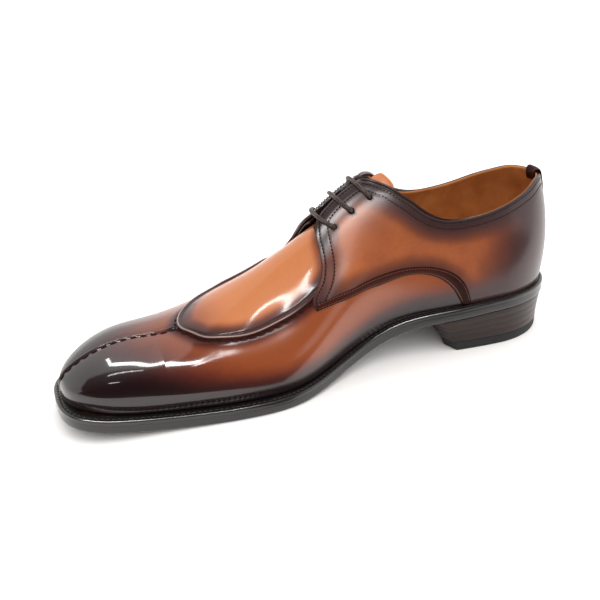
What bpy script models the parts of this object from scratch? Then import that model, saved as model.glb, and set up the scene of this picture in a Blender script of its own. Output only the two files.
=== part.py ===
"""Right derby shoe with a split toe, an apron and three pairs of lace holes.

Lengths are in millimetres until a mesh is made. s runs from the heel's back to
the toe, y to the inner side of the foot and z up from the floor; t runs round
the upper, from 0 at the inner feather edge over 0.5 at the ridge to 1 at the
outer feather edge.
"""
import bpy
import bmesh
import numpy as np

for _old in list(bpy.data.objects):
    bpy.data.objects.remove(_old, do_unlink=True)

MM = 0.001
GAP = 0.3                       # clearance between neighbouring pieces

# ---------------------------------------------------------------- lengths
UPPER_BACK, UPPER_TIP = 0.2, 302.0
SOLE_BACK, SOLE_TIP = -2.3, 305.2
INFLARE, INFLARE_FROM, INFLARE_P = 13.0, 120.0, 1.85     # the forepart swings to the inner side

# ---------------------------------------------------------------- thicknesses
WALL = 2.0                      # leather and lining of the upper
OUTSOLE = 5.0
WELT = 2.4
WELT_WIDTH = 8.5
TOP_PIECE = 6.0
TONGUE, TONGUE_DEPTH = 1.8, 6.2
LACE_R = 1.2
HOLE_R = 2.4
STACK = OUTSOLE + GAP + WELT + GAP      # floor side of the outsole to the feather

# ---------------------------------------------------------------- rounding of the ends
HEEL_ROUND, HEEL_P, HEEL_Q = 42.0, 2.1, 2.0
TOE_ROUND, TOE_P, TOE_Q = 236.5, 2.75, 2.05
SOLE_ROUND, SOLE_P, SOLE_Q = 233.0, 2.7, 2.85
TOE_DROP, TOE_WALL, DROP_P, DROP_Q = 257.0, 6.5, 2.45, 1.95
BACK_CURVE, BACK_MID = 0.003, 56.0      # the heel's back bellies out at this height

# ---------------------------------------------------------------- sections
SECTION_COLUMNS = ('s', 'edge_in', 'edge_out', 'margin', 'swell_in', 'swell_out', 'belly_h',
                   'shoulder_in', 'shoulder_out', 'shoulder_h', 'ridge_z', 'ridge_y')
SECTIONS = (
    (0,   32.5, 32.5, 2.6, 2.5, 2.5, .27, 25.0, 25.0, .68, 120.0, 0.0),
    (40,  33.0, 34.0, 3.0, 2.5, 2.4, .27, 25.0, 25.5, .68, 126.0, 0.0),
    (75,  30.6, 36.0, 3.6, 3.0, 2.3, .28, 24.5, 26.5, .67, 127.0, 0.0),
    (110, 25.7, 38.0, 3.8, 4.2, 2.3, .30, 23.5, 27.5, .67, 117.0, 1.0),
    (145, 33.0, 43.5, 4.4, 4.6, 2.4, .32, 25.0, 30.0, .67, 97.4, 2.0),
    (180, 48.1, 50.5, 5.4, 3.4, 2.3, .30, 30.0, 33.0, .65, 68.5,  3.4),
    (210, 49.0, 54.0, 5.8, 2.6, 2.2, .30, 34.0, 34.8, .65, 54.5,  3.6),
    (240, 44.0, 51.5, 5.8, 2.2, 1.9, .32, 34.0, 34.0, .70, 42.4,  4.4),
    (270, 40.7, 45.5, 5.6, 1.8, 1.5, .36, 31.0, 30.8, .75, 40.6,  2.6),
    (303, 42.4, 38.2, 5.2, 1.5, 1.2, .45, 27.0, 25.7, .81, 36.4,  0.3),
)
PROFILE_COLUMNS = ('s', 'under_z')      # underside of the outsole: heel seat, arch, tread, toe spring
PROFILE = ((-2, 25.0), (40, 24.2), (75, 21.3), (110, 16.4), (145, 5.7), (175, 0.5),
           (190, 0.0), (220, 0.0), (250, 1.6), (280, 4.6), (305, 7.7))
OPENING_COLUMNS = ('s', 't_edge')       # collar edge, then the facing's edge, both sides alike
OPENING = ((0, .303), (10, .297), (30, .255), (50, .225), (70, .2150), (84, .228), (97, .274),
           (110, .352), (118, .405), (123, .441), (128, .470), (134, .481), (142, .482), (156, .478))
THROAT = 156.0                          # front end of the gap between the facings
HOLES_COLUMNS = ('s', 't', 'rise')      # lace holes; rise is how far the bar leads forward over the ridge
HOLES = ((147.1, .384, 6.0), (136.2, .386, 5.5), (125.1, .389, 5.0))
TONGUE_COLUMNS = ('s', 'half_t')
TONGUE_ROWS = ((113, .085), (117, .115), (126, .125), (150, .110), (172, .075))

# ---------------------------------------------------------------- heel block
BREAST_TOP, BREAST_LOW = 86.0, 75.0     # front of the heel, at the seat and at the floor
HEEL_TAPER = 2.0                        # the block is this much smaller all round at the floor
CORNER_CUT = 9.0                        # inner front corner cut off, measured across
BREAST_HOLLOW = 5.0                     # the breast curves back this far between its corners
SIDE_STEPS, FRONT_STEPS = 15, 8         # stations along each side of the block and across its breast


def spline(xs, ys):
    """Natural cubic spline through rows ys at xs."""
    xs, ys = np.asarray(xs, float), np.asarray(ys, float)
    n, h = len(xs), np.diff(xs)
    a, b = np.zeros((n, n)), np.zeros_like(ys)
    a[0, 0] = a[-1, -1] = 1.0
    for i in range(1, n - 1):
        a[i, i - 1:i + 2] = h[i - 1], 2 * (h[i - 1] + h[i]), h[i]
        b[i] = 6 * ((ys[i + 1] - ys[i]) / h[i] - (ys[i] - ys[i - 1]) / h[i - 1])
    m = np.linalg.solve(a, b)

    def f(x):
        x = np.asarray(x, float)
        i = np.clip(np.searchsorted(xs, x, side='right') - 1, 0, n - 2)
        p, q, hh = xs[i + 1] - x, x - xs[i], h[i]
        if ys.ndim > 1:
            p, q, hh = p[..., None], q[..., None], hh[..., None]
        return ((m[i] * p ** 3 + m[i + 1] * q ** 3) / (6 * hh)
                + (ys[i] / hh - m[i] * hh / 6) * p + (ys[i + 1] / hh - m[i + 1] * hh / 6) * q)
    return f


SECTION = spline([r[0] for r in SECTIONS], [r[1:] for r in SECTIONS])
UNDER = spline([r[0] for r in PROFILE], [r[1] for r in PROFILE])
EDGE_T = spline([r[0] for r in OPENING], [r[1] for r in OPENING])
TONGUE_T = spline([r[0] for r in TONGUE_ROWS], [r[1] for r in TONGUE_ROWS])
ROUND_KNOTS = (0, .09, .26, .5, .74, .91, 1)     # feather, belly, shoulder, ridge, shoulder, belly, feather
ROUND = spline(ROUND_KNOTS, np.eye(7))


def closure(s, start, end, p, q):
    """1 up to start, then down to 0 at end along a superellipse."""
    r = np.clip((np.asarray(s, float) - start) / (end - start), 0, 1)
    return np.clip(1 - r ** p, 0, 1) ** (1 / q)


def swing(s):
    return INFLARE * np.clip((np.asarray(s, float) - INFLARE_FROM) / 180, 0, 2) ** INFLARE_P


def under_z(s):
    return np.maximum(UNDER(s), 0.0)


def sole_edge(s):
    """Half widths of the sole to the inner and the outer side of the swung middle line."""
    row = SECTION(s)
    e = closure(s, HEEL_ROUND, SOLE_BACK, HEEL_P, HEEL_Q) * closure(s, SOLE_ROUND, SOLE_TIP, SOLE_P, SOLE_Q)
    return row[..., 0] * e, row[..., 1] * e


def surf(s, t):
    """Point of the upper's outer surface."""
    s, t = np.broadcast_arrays(np.asarray(s, float), np.asarray(t, float))
    (edge_in, edge_out, margin, swell_in, swell_out, belly_h,
     sh_in, sh_out, sh_h, ridge_z, ridge_y) = np.moveaxis(SECTION(s), -1, 0)
    zf = under_z(s) + STACK
    e = closure(s, HEEL_ROUND, UPPER_BACK, HEEL_P, HEEL_Q) * closure(s, TOE_ROUND, UPPER_TIP, TOE_P, TOE_Q)
    top = zf + TOE_WALL + (ridge_z - zf - TOE_WALL) * closure(s, TOE_DROP, UPPER_TIP, DROP_P, DROP_Q)
    h = top - zf
    f_in, f_out = edge_in - margin, edge_out - margin
    ys = np.stack([f_in, f_in + swell_in, sh_in, ridge_y, -sh_out, -f_out - swell_out, -f_out], -1) * e[..., None]
    zs = np.stack([zf, zf + belly_h * h, zf + sh_h * h, top, zf + sh_h * h, zf + belly_h * h, zf], -1)
    w = ROUND(t)
    y, z = (w * ys).sum(-1), (w * zs).sum(-1)
    x = s + np.clip(1 - s / 70, 0, 1) ** 2 * BACK_CURVE * (z - BACK_MID) ** 2
    return np.stack([x, y + swing(s), z], -1)


def normal(s, t):
    """Outward unit normal of the upper's surface."""
    s, t = np.broadcast_arrays(np.asarray(s, float), np.asarray(t, float))
    s = np.clip(s, UPPER_BACK + .03, UPPER_TIP - .03)
    ds = np.minimum(.05, .4 * np.minimum(s - UPPER_BACK, UPPER_TIP - s))
    a = surf(s + ds, t) - surf(s - ds, t)
    b = surf(s, np.clip(t + .002, 0, 1)) - surf(s, np.clip(t - .002, 0, 1))
    n = np.cross(b, a)
    return n / np.linalg.norm(n, axis=-1, keepdims=True)


def eased(a, b, n, start=True):
    """n+1 stations from a to b, crowded at a (start) or at b."""
    u = np.linspace(0, 1, n + 1) * np.pi / 2
    return a + (b - a) * (1 - np.cos(u) if start else np.sin(u))


# ---------------------------------------------------------------- origin: middle of the sole's box
_s = np.linspace(SOLE_BACK, SOLE_TIP, 4001)
_in, _out = sole_edge(_s)
MID_X = (SOLE_BACK + SOLE_TIP) / 2
MID_Y = ((swing(_s) + _in).max() + (swing(_s) - _out).min()) / 2


# ---------------------------------------------------------------- mesh helpers
def material(name, colour, roughness, metallic=0.0):
    m = bpy.data.materials.new(name)
    m.use_nodes = True
    p = m.node_tree.nodes['Principled BSDF']
    p.inputs['Base Color'].default_value = (*colour, 1.0)
    p.inputs['Roughness'].default_value = roughness
    p.inputs['Metallic'].default_value = metallic
    m.diffuse_color = (*colour, 1.0)
    return m


def solid(name, points, faces, mat, sharp=35.0):
    pts = (np.asarray(points, float) - (MID_X, MID_Y, 0.0)) * MM
    mesh = bpy.data.meshes.new(name)
    mesh.from_pydata(pts.tolist(), [], [list(map(int, f)) for f in faces])
    bm = bmesh.new()
    bm.from_mesh(mesh)
    bmesh.ops.recalc_face_normals(bm, faces=bm.faces[:])
    bm.to_mesh(mesh)
    bm.free()
    mesh.shade_smooth()
    mesh.set_sharp_from_angle(angle=np.radians(sharp))
    mesh.materials.append(mat)
    obj = bpy.data.objects.new(name, mesh)
    bpy.context.scene.collection.objects.link(obj)
    return obj


def tidy(face):
    """Face without repeated neighbours, or None where fewer than three corners are left."""
    f = [v for i, v in enumerate(face) if v != face[i - 1]]
    return f if len(f) > 2 else None


def grid_faces(idx):
    out = []
    for i in range(idx.shape[0] - 1):
        for j in range(idx.shape[1] - 1):
            f = tidy([idx[i, j], idx[i + 1, j], idx[i + 1, j + 1], idx[i, j + 1]])
            if f:
                out.append(f)
    return out


def close_shell(outer, inner, faces):
    """Solid between two sheets that share their faces, with a rim along every free edge."""
    n = len(outer)
    used = {}
    for f in faces:
        for a, b in zip(f, f[1:] + f[:1]):
            used[(a, b)] = True
    rim = [[b, a, a + n, b + n] for (a, b) in used if (b, a) not in used]
    return np.vstack([outer, inner]), faces + [[v + n for v in f[::-1]] for f in faces] + rim


def plate(name, top, bottom, mat):
    """Solid between two closed loops whose points i and -i lie across from each other."""
    n = len(top)
    pts = np.vstack([top, bottom])
    faces = [[i, (i + 1) % n, (i + 1) % n + n, i + n] for i in range(n)]
    for i in range(n // 2):
        f = tidy([i, i + 1, (n - i - 1) % n, (n - i) % n])
        if f:
            faces += [f, [v + n for v in f[::-1]]]
    return solid(name, pts, faces, mat)


def tube(path, radius, sides):
    """Round tube along a path with closed ends."""
    p = np.asarray(path, float)
    d = np.gradient(p, axis=0)
    d /= np.linalg.norm(d, axis=1, keepdims=True)
    u = np.cross(d[0], (0, 0, 1.0))
    rings = []
    for k in range(len(p)):
        u = u - d[k] * (u @ d[k])
        u /= np.linalg.norm(u)
        v = np.cross(d[k], u)
        a = np.arange(sides) * 2 * np.pi / sides
        rings.append(p[k] + radius * (np.cos(a)[:, None] * u + np.sin(a)[:, None] * v))
    pts = np.vstack(rings + [p[:1], p[-1:]])
    m = len(p)
    faces = []
    for k in range(m - 1):
        for j in range(sides):
            q = (j + 1) % sides
            faces.append([k * sides + j, k * sides + q, (k + 1) * sides + q, (k + 1) * sides + j])
    for j in range(sides):
        q = (j + 1) % sides
        faces.append([m * sides, q, j])
        faces.append([m * sides + 1, (m - 1) * sides + j, (m - 1) * sides + q])
    return pts, faces


# ---------------------------------------------------------------- outlines of the flat pieces
def sole_loop(inset, n=44, upto=None):
    """Closed loop round the sole, inset from its edge: heel back, inner side, toe, outer side."""
    u = np.linspace(0, np.pi, 8 * n + 1)
    s = SOLE_BACK + (SOLE_TIP - SOLE_BACK) * (1 - np.cos(u)) / 2
    a, b = sole_edge(s)
    c = swing(s)
    xy = np.vstack([np.stack([s, c + a], 1), np.stack([s, c - b], 1)[-2:0:-1]])
    d = np.roll(xy, -1, 0) - np.roll(xy, 1, 0)
    d /= np.linalg.norm(d, axis=1, keepdims=True)
    w = inset(xy[:, 0]) if callable(inset) else inset
    xy = xy + np.stack([d[:, 1], -d[:, 0]], 1) * np.reshape(w, (-1, 1))
    return xy[::8]


def at_height(xy, above):
    return np.column_stack([xy, under_z(np.clip(xy[:, 0], SOLE_BACK, SOLE_TIP)) + above])


def welt_width(s):
    return np.interp(s, (0, 70, 120, 180, 305), (5.5, 6.0, 6.5, WELT_WIDTH, WELT_WIDTH))


# ---------------------------------------------------------------- materials
LEATHER = material('upper_leather', (.20, .075, .03), .28)
LINING = material('tongue_leather', (.42, .23, .11), .5)
SOCK = material('insole_leather', (.45, .27, .14), .6)
WELT_M = material('welt_leather', (.012, .010, .010), .35)
SOLE_M = material('sole_leather', (.010, .009, .009), .3)
HEEL_M = material('heel_leather', (.05, .02, .014), .35)
RUBBER = material('heel_rubber', (.012, .012, .012), .6)
CORD = material('lace_cord', (.035, .016, .012), .5)


def build_upper():
    rows = 12
    stations = np.concatenate([eased(UPPER_BACK, THROAT, 32), eased(THROAT, UPPER_TIP, 27, start=False)[1:]])
    cut = 32                                   # station index of the throat
    v = np.linspace(0, 1, rows + 1)
    edge = np.where(stations <= THROAT, EDGE_T(np.minimum(stations, THROAT)), EDGE_T(THROAT))
    inner_t = edge[:, None] * v[None, :]
    pts, nrm, n = [], [], 0

    def add(s, t):
        nonlocal n
        pts.append(surf(s, t).reshape(-1, 3))
        nrm.append(normal(s, t).reshape(-1, 3))
        k = n + np.arange(pts[-1].shape[0])
        n += len(k)
        return k
    shape = (len(stations), rows + 1)
    side_in = add(stations[:, None] + 0 * inner_t, inner_t).reshape(shape)
    side_out = add(stations[:, None] + 0 * inner_t, 1 - inner_t).reshape(shape)
    middle = add(stations[cut:], 0 * stations[cut:] + .5)
    p, m = np.vstack(pts), np.vstack(nrm)
    for k in (0, -1):                          # the heel's back line and the toe's tip line are shared
        m[side_in[k]] = m[side_in[k]] + m[side_out[k]]
        side_out[k] = side_in[k]
    middle[-1] = side_in[-1, -1]
    m /= np.linalg.norm(m, axis=1, keepdims=True)
    faces = grid_faces(side_in) + grid_faces(side_out[:, ::-1])
    faces += grid_faces(np.stack([side_in[cut:, -1], middle, side_out[cut:, -1]], 1))
    keep = np.unique(np.concatenate([f for f in faces]))
    back = np.full(len(p), -1)
    back[keep] = np.arange(len(keep))
    faces = [[int(back[q]) for q in f] for f in faces]
    p, m = p[keep], m[keep]
    pts, faces = close_shell(p, p - WALL * m, faces)
    upper = solid('upper', pts, faces, LEATHER)

    # punched lace holes
    cut_pts, cut_faces = [], []
    for s, t, _ in HOLES:
        for tt in (t, 1 - t):
            c, d = surf(s, tt), normal(s, tt)
            q, f = tube(np.array([c + d * k for k in (3.0, 0.0, -5.0)]), HOLE_R, 12)
            k = sum(len(a) for a in cut_pts)
            cut_pts.append(q)
            cut_faces += [[a + k for a in g] for g in f]
    cutter = solid('lace_hole_cutter', np.vstack(cut_pts), cut_faces, LEATHER)
    cutter.hide_render = True
    cutter.display_type = 'WIRE'
    mod = upper.modifiers.new('lace_holes', 'BOOLEAN')
    mod.operation = 'DIFFERENCE'
    mod.solver = 'EXACT'
    mod.object = cutter


def build_tongue():
    s = np.linspace(TONGUE_ROWS[0][0], TONGUE_ROWS[-1][0], 15)
    v = np.linspace(-1, 1, 11)
    half = TONGUE_T(s)
    ss, tt = s[:, None] + 0 * v[None, :], .5 + half[:, None] * v[None, :]
    p, m = surf(ss, tt).reshape(-1, 3), normal(ss, tt).reshape(-1, 3)
    idx = np.arange(len(p)).reshape(len(s), len(v))
    pts, faces = close_shell(p - TONGUE_DEPTH * m, p - (TONGUE_DEPTH + TONGUE) * m, grid_faces(idx))
    solid('tongue', pts, faces, LINING)


def build_sole():
    edge = sole_loop(0.0)
    plate('outsole', at_height(edge, OUTSOLE), at_height(edge, 0.0), SOLE_M)
    outer = sole_loop(.4)
    inner = sole_loop(welt_width)
    low, high = OUTSOLE + GAP, OUTSOLE + GAP + WELT
    n = len(outer)
    loops = [at_height(outer, high), at_height(inner, high), at_height(inner, low), at_height(outer, low)]
    faces = []
    for k in range(4):
        for i in range(n):
            j, q = (i + 1) % n, (k + 1) % 4
            faces.append([k * n + i, k * n + j, q * n + j, q * n + i])
    solid('welt', np.vstack(loops), faces, WELT_M)
    inside = sole_loop(lambda s: welt_width(s) + GAP)
    plate('insole', at_height(inside, high), at_height(inside, low), SOCK)


def heel_loop(shrink, breast):
    """Loop round the heel block: inner side, cut corner and hollow breast, outer side."""
    s = eased(SOLE_BACK, breast, SIDE_STEPS)
    a, b = sole_edge(s)
    s = s + shrink * (1 - (s - SOLE_BACK) / (breast - SOLE_BACK))
    inner = np.stack([s, np.maximum(a - shrink, 0)], 1)
    outer = np.stack([s, -np.maximum(b - shrink, 0)], 1)
    inner[-1] = (breast - 3.5, a[-1] - shrink)
    w = np.linspace(0, 1, FRONT_STEPS)[:-1]
    across = a[-1] - shrink - CORNER_CUT
    front = np.stack([breast - BREAST_HOLLOW * np.sin(np.pi * w), across + (outer[-1, 1] - across) * w], 1)
    return np.vstack([inner, front, outer[:0:-1]])


def build_heel():
    top = heel_loop(.5, BREAST_TOP)
    low = heel_loop(HEEL_TAPER, BREAST_LOW)
    z_seat = under_z(top[:, 0]) - GAP

    def level(z):
        k = (z / np.maximum(z_seat, 1e-6))[:, None]
        sag = .8 * np.sin(np.pi * np.clip(k, 0, 1))     # the sides draw in a little between seat and floor
        mid = np.array([30.0, 0.0])
        xy = low + (top - low) * k
        return np.column_stack([xy - (xy - mid) * sag / 45, z])
    n = len(top)
    zt = TOP_PIECE + GAP
    loops = [level(z_seat), level(zt + (z_seat - zt) * .66), level(zt + (z_seat - zt) * .33), level(np.full(n, zt))]
    stack(('heel_stack'), loops, HEEL_M)
    stack('top_piece', [level(np.full(n, TOP_PIECE)), level(np.zeros(n))], RUBBER)


def stack(name, loops, mat):
    """Solid through loops one under the other; the ends are filled across."""
    n = len(loops[0])
    faces = []
    for k in range(len(loops) - 1):
        for i in range(n):
            j = (i + 1) % n
            faces.append([k * n + i, k * n + j, (k + 1) * n + j, (k + 1) * n + i])
    last = (len(loops) - 1) * n
    ends = [tidy([i, i + 1, (n - i - 1) % n, (n - i) % n]) for i in range(SIDE_STEPS - 1)]
    ends.append(list(range(SIDE_STEPS - 1, n - SIDE_STEPS + 2)))       # the breast, in one piece
    for f in ends:
        faces += [f, [v + last for v in f[::-1]]]
    solid(name, np.vstack(loops), faces, mat)


def lace_path():
    """One lace: up through a hole, over the ridge as a bar, down, and on under the facing."""
    over, below = LACE_R + .45, -(WALL + LACE_R + .9)

    def bar(k, back):
        s0, t0, rise = HOLES[k]
        u = np.linspace(-1, 1, 21)
        t = .5 + (.5 - t0) * u
        s = s0 + rise * (1 - u ** 2)
        p = surf(s, t) + over * normal(s, t)
        gap = np.abs(u) < .15                     # straight across between the facings
        for axis in (0, 1, 2):
            p[gap, axis] = np.interp(u[gap], u[~gap], p[~gap, axis])
        return p[::-1] if back else p

    def leg(k, outer_side, down):
        s0, t0, _ = HOLES[k]
        t = 1 - t0 if outer_side else t0
        c, d = surf(s0, t), normal(s0, t)
        away = surf(s0, t + (.01 if outer_side else -.01)) - c
        c = c + .6 * away / np.linalg.norm(away)  # the leg keeps to the side of the hole away from the bar
        p = np.array([c + d * h for h in (.5, -.9, -WALL - .3, -WALL - 1.7)])
        return p if down else p[::-1]

    def run(a, b, n=7):
        u = np.linspace(.12, .88, n)
        s, t = a[0] + (b[0] - a[0]) * u, a[1] + (b[1] - a[1]) * u
        return surf(s, t) + below * normal(s, t)

    (s1, t1, _), (s2, t2, _), (s3, t3, _) = HOLES
    path = [run((s3 + 4.5, 1 - t3), (s2, 1 - t2)), leg(1, True, False), bar(1, True), leg(1, False, True),
            run((s2, t2), (s1, t1)), leg(0, False, False), bar(0, False), leg(0, True, True),
            run((s1, 1 - t1), (s3, t3), 11), leg(2, False, False), bar(2, False), leg(2, True, True)]
    s, t = s3, 1 - t3
    path.append(np.array([surf(s, t) + (below + .4) * normal(s, t)]))
    p = np.vstack(path)
    p[1:-1] = .15 * p[:-2] + .7 * p[1:-1] + .15 * p[2:]      # rounds the bends at the holes
    return p


def build_laces():
    pts, faces = tube(lace_path(), LACE_R, 8)
    solid('laces', pts, faces, CORD, sharp=60.0)


build_upper()
build_tongue()
build_sole()
build_heel()
build_laces()
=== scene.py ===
import bpy
import bmesh
import numpy as np
from mathutils import Matrix
from mathutils.kdtree import KDTree


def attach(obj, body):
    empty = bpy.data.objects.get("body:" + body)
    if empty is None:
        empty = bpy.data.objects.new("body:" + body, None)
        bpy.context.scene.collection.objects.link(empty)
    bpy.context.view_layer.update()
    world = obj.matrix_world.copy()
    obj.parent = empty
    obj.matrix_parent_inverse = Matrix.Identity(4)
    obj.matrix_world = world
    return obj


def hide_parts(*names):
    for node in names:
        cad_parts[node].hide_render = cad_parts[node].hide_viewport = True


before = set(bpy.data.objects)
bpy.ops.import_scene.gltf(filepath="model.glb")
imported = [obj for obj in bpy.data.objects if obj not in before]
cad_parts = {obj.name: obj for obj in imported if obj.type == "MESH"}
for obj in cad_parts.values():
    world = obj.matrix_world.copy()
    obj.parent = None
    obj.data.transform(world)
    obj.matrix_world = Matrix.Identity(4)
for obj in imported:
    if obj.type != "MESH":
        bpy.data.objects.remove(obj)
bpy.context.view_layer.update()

# =====================================================================================
# The shoe's own form. Lengths are in millimetres until a mesh is made: s from the heel's
# back to the toe, y to the inner side, z up from the floor. t runs round the upper from
# the inner feather edge (0) over the ridge (.5) to the outer feather edge (1).
# =====================================================================================
MM = 0.001
UPPER_BACK, UPPER_TIP = 0.2, 302.0
SOLE_BACK, SOLE_TIP = -2.3, 305.2
INFLARE, INFLARE_FROM, INFLARE_P = 13.0, 120.0, 1.85
GAP, WALL, OUTSOLE, WELT, WELT_WIDTH, TOP_PIECE = 0.3, 2.0, 5.0, 2.4, 8.5, 6.0
TONGUE, TONGUE_DEPTH = 1.8, 6.2
STACK = OUTSOLE + GAP + WELT + GAP
HEEL_ROUND, HEEL_P, HEEL_Q = 42.0, 2.1, 2.0
TOE_ROUND, TOE_P, TOE_Q = 236.5, 2.75, 2.05
SOLE_ROUND, SOLE_P, SOLE_Q = 233.0, 2.7, 2.85
TOE_DROP, TOE_WALL, DROP_P, DROP_Q = 257.0, 6.5, 2.45, 1.95
BACK_CURVE, BACK_MID = 0.003, 56.0
BREAST_TOP, BREAST_LOW, HEEL_TAPER, CORNER_CUT, BREAST_HOLLOW = 86.0, 75.0, 2.0, 9.0, 5.0

# s, edge_in, edge_out, margin, swell_in, swell_out, belly_h, shoulder_in, shoulder_out, shoulder_h, ridge_z, ridge_y
SECTIONS = (
    (0,   32.5, 32.5, 2.6, 2.5, 2.5, .27, 25.0, 25.0, .68, 120.0, 0.0),
    (40,  33.0, 34.0, 3.0, 2.5, 2.4, .27, 25.0, 25.5, .68, 126.0, 0.0),
    (75,  30.6, 36.0, 3.6, 3.0, 2.3, .28, 24.5, 26.5, .67, 127.0, 0.0),
    (110, 25.7, 38.0, 3.8, 4.2, 2.3, .30, 23.5, 27.5, .67, 117.0, 1.0),
    (145, 33.0, 43.5, 4.4, 4.6, 2.4, .32, 25.0, 30.0, .67, 97.4,  2.0),
    (180, 48.1, 50.5, 5.4, 3.4, 2.3, .30, 30.0, 33.0, .65, 68.5,  3.4),
    (210, 49.0, 54.0, 5.8, 2.6, 2.2, .30, 34.0, 34.8, .65, 54.5,  3.6),
    (240, 44.0, 51.5, 5.8, 2.2, 1.9, .32, 34.0, 34.0, .70, 42.4,  4.4),
    (270, 40.7, 45.5, 5.6, 1.8, 1.5, .36, 31.0, 30.8, .75, 40.6,  2.6),
    (303, 42.4, 38.2, 5.2, 1.5, 1.2, .45, 27.0, 25.7, .81, 36.4,  0.3),
)
PROFILE = ((-2, 25.0), (40, 24.2), (75, 21.3), (110, 16.4), (145, 5.7), (175, 0.5),
           (190, 0.0), (220, 0.0), (250, 1.6), (280, 4.6), (305, 7.7))
TONGUE_ROWS = ((113, .085), (117, .115), (126, .125), (150, .110), (172, .075))
HOLES = ((147.1, .384, 6.0), (136.2, .386, 5.5), (125.1, .389, 5.0))      # s, t, how far the bar leads forward


def spline(xs, ys):
    xs, ys = np.asarray(xs, float), np.asarray(ys, float)
    n, h = len(xs), np.diff(xs)
    a, b = np.zeros((n, n)), np.zeros_like(ys)
    a[0, 0] = a[-1, -1] = 1.0
    for i in range(1, n - 1):
        a[i, i - 1:i + 2] = h[i - 1], 2 * (h[i - 1] + h[i]), h[i]
        b[i] = 6 * ((ys[i + 1] - ys[i]) / h[i] - (ys[i] - ys[i - 1]) / h[i - 1])
    m = np.linalg.solve(a, b)

    def f(x):
        x = np.asarray(x, float)
        i = np.clip(np.searchsorted(xs, x, side='right') - 1, 0, n - 2)
        p, q, hh = xs[i + 1] - x, x - xs[i], h[i]
        if ys.ndim > 1:
            p, q, hh = p[..., None], q[..., None], hh[..., None]
        return ((m[i] * p ** 3 + m[i + 1] * q ** 3) / (6 * hh)
                + (ys[i] / hh - m[i] * hh / 6) * p + (ys[i + 1] / hh - m[i + 1] * hh / 6) * q)
    return f


SECTION = spline([r[0] for r in SECTIONS], [r[1:] for r in SECTIONS])
UNDER = spline([r[0] for r in PROFILE], [r[1] for r in PROFILE])
TONGUE_T = spline([r[0] for r in TONGUE_ROWS], [r[1] for r in TONGUE_ROWS])
ROUND = spline((0, .09, .26, .5, .74, .91, 1), np.eye(7))


def closure(s, start, end, p, q):
    r = np.clip((np.asarray(s, float) - start) / (end - start), 0, 1)
    return np.clip(1 - r ** p, 0, 1) ** (1 / q)


def swing(s):
    return INFLARE * np.clip((np.asarray(s, float) - INFLARE_FROM) / 180, 0, 2) ** INFLARE_P


def under_z(s):
    return np.maximum(UNDER(s), 0.0)


def sole_edge(s):
    row = SECTION(s)
    e = closure(s, HEEL_ROUND, SOLE_BACK, HEEL_P, HEEL_Q) * closure(s, SOLE_ROUND, SOLE_TIP, SOLE_P, SOLE_Q)
    return row[..., 0] * e, row[..., 1] * e


def surf(s, t):
    s, t = np.broadcast_arrays(np.asarray(s, float), np.asarray(t, float))
    (edge_in, edge_out, margin, swell_in, swell_out, belly_h,
     sh_in, sh_out, sh_h, ridge_z, ridge_y) = np.moveaxis(SECTION(s), -1, 0)
    zf = under_z(s) + STACK
    e = closure(s, HEEL_ROUND, UPPER_BACK, HEEL_P, HEEL_Q) * closure(s, TOE_ROUND, UPPER_TIP, TOE_P, TOE_Q)
    top = zf + TOE_WALL + (ridge_z - zf - TOE_WALL) * closure(s, TOE_DROP, UPPER_TIP, DROP_P, DROP_Q)
    h = top - zf
    f_in, f_out = edge_in - margin, edge_out - margin
    ys = np.stack([f_in, f_in + swell_in, sh_in, ridge_y, -sh_out, -f_out - swell_out, -f_out], -1) * e[..., None]
    zs = np.stack([zf, zf + belly_h * h, zf + sh_h * h, top, zf + sh_h * h, zf + belly_h * h, zf], -1)
    w = ROUND(t)
    y, z = (w * ys).sum(-1), (w * zs).sum(-1)
    x = s + np.clip(1 - s / 70, 0, 1) ** 2 * BACK_CURVE * (z - BACK_MID) ** 2
    return np.stack([x, y + swing(s), z], -1)


def normal(s, t):
    s, t = np.broadcast_arrays(np.asarray(s, float), np.asarray(t, float))
    s = np.clip(s, UPPER_BACK + .03, UPPER_TIP - .03)
    ds = np.minimum(.05, .4 * np.minimum(s - UPPER_BACK, UPPER_TIP - s))
    a = surf(s + ds, t) - surf(s - ds, t)
    b = surf(s, np.clip(t + .002, 0, 1)) - surf(s, np.clip(t - .002, 0, 1))
    n = np.cross(b, a)
    return n / np.linalg.norm(n, axis=-1, keepdims=True)


def eased(a, b, n, start=True):
    u = np.linspace(0, 1, n + 1) * np.pi / 2
    return a + (b - a) * (1 - np.cos(u) if start else np.sin(u))


_s = np.linspace(SOLE_BACK, SOLE_TIP, 4001)
_in, _out = sole_edge(_s)
MID_X = (SOLE_BACK + SOLE_TIP) / 2
MID_Y = ((swing(_s) + _in).max() + (swing(_s) - _out).min()) / 2
ORIGIN = np.array([MID_X, MID_Y, 0.0])

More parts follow.
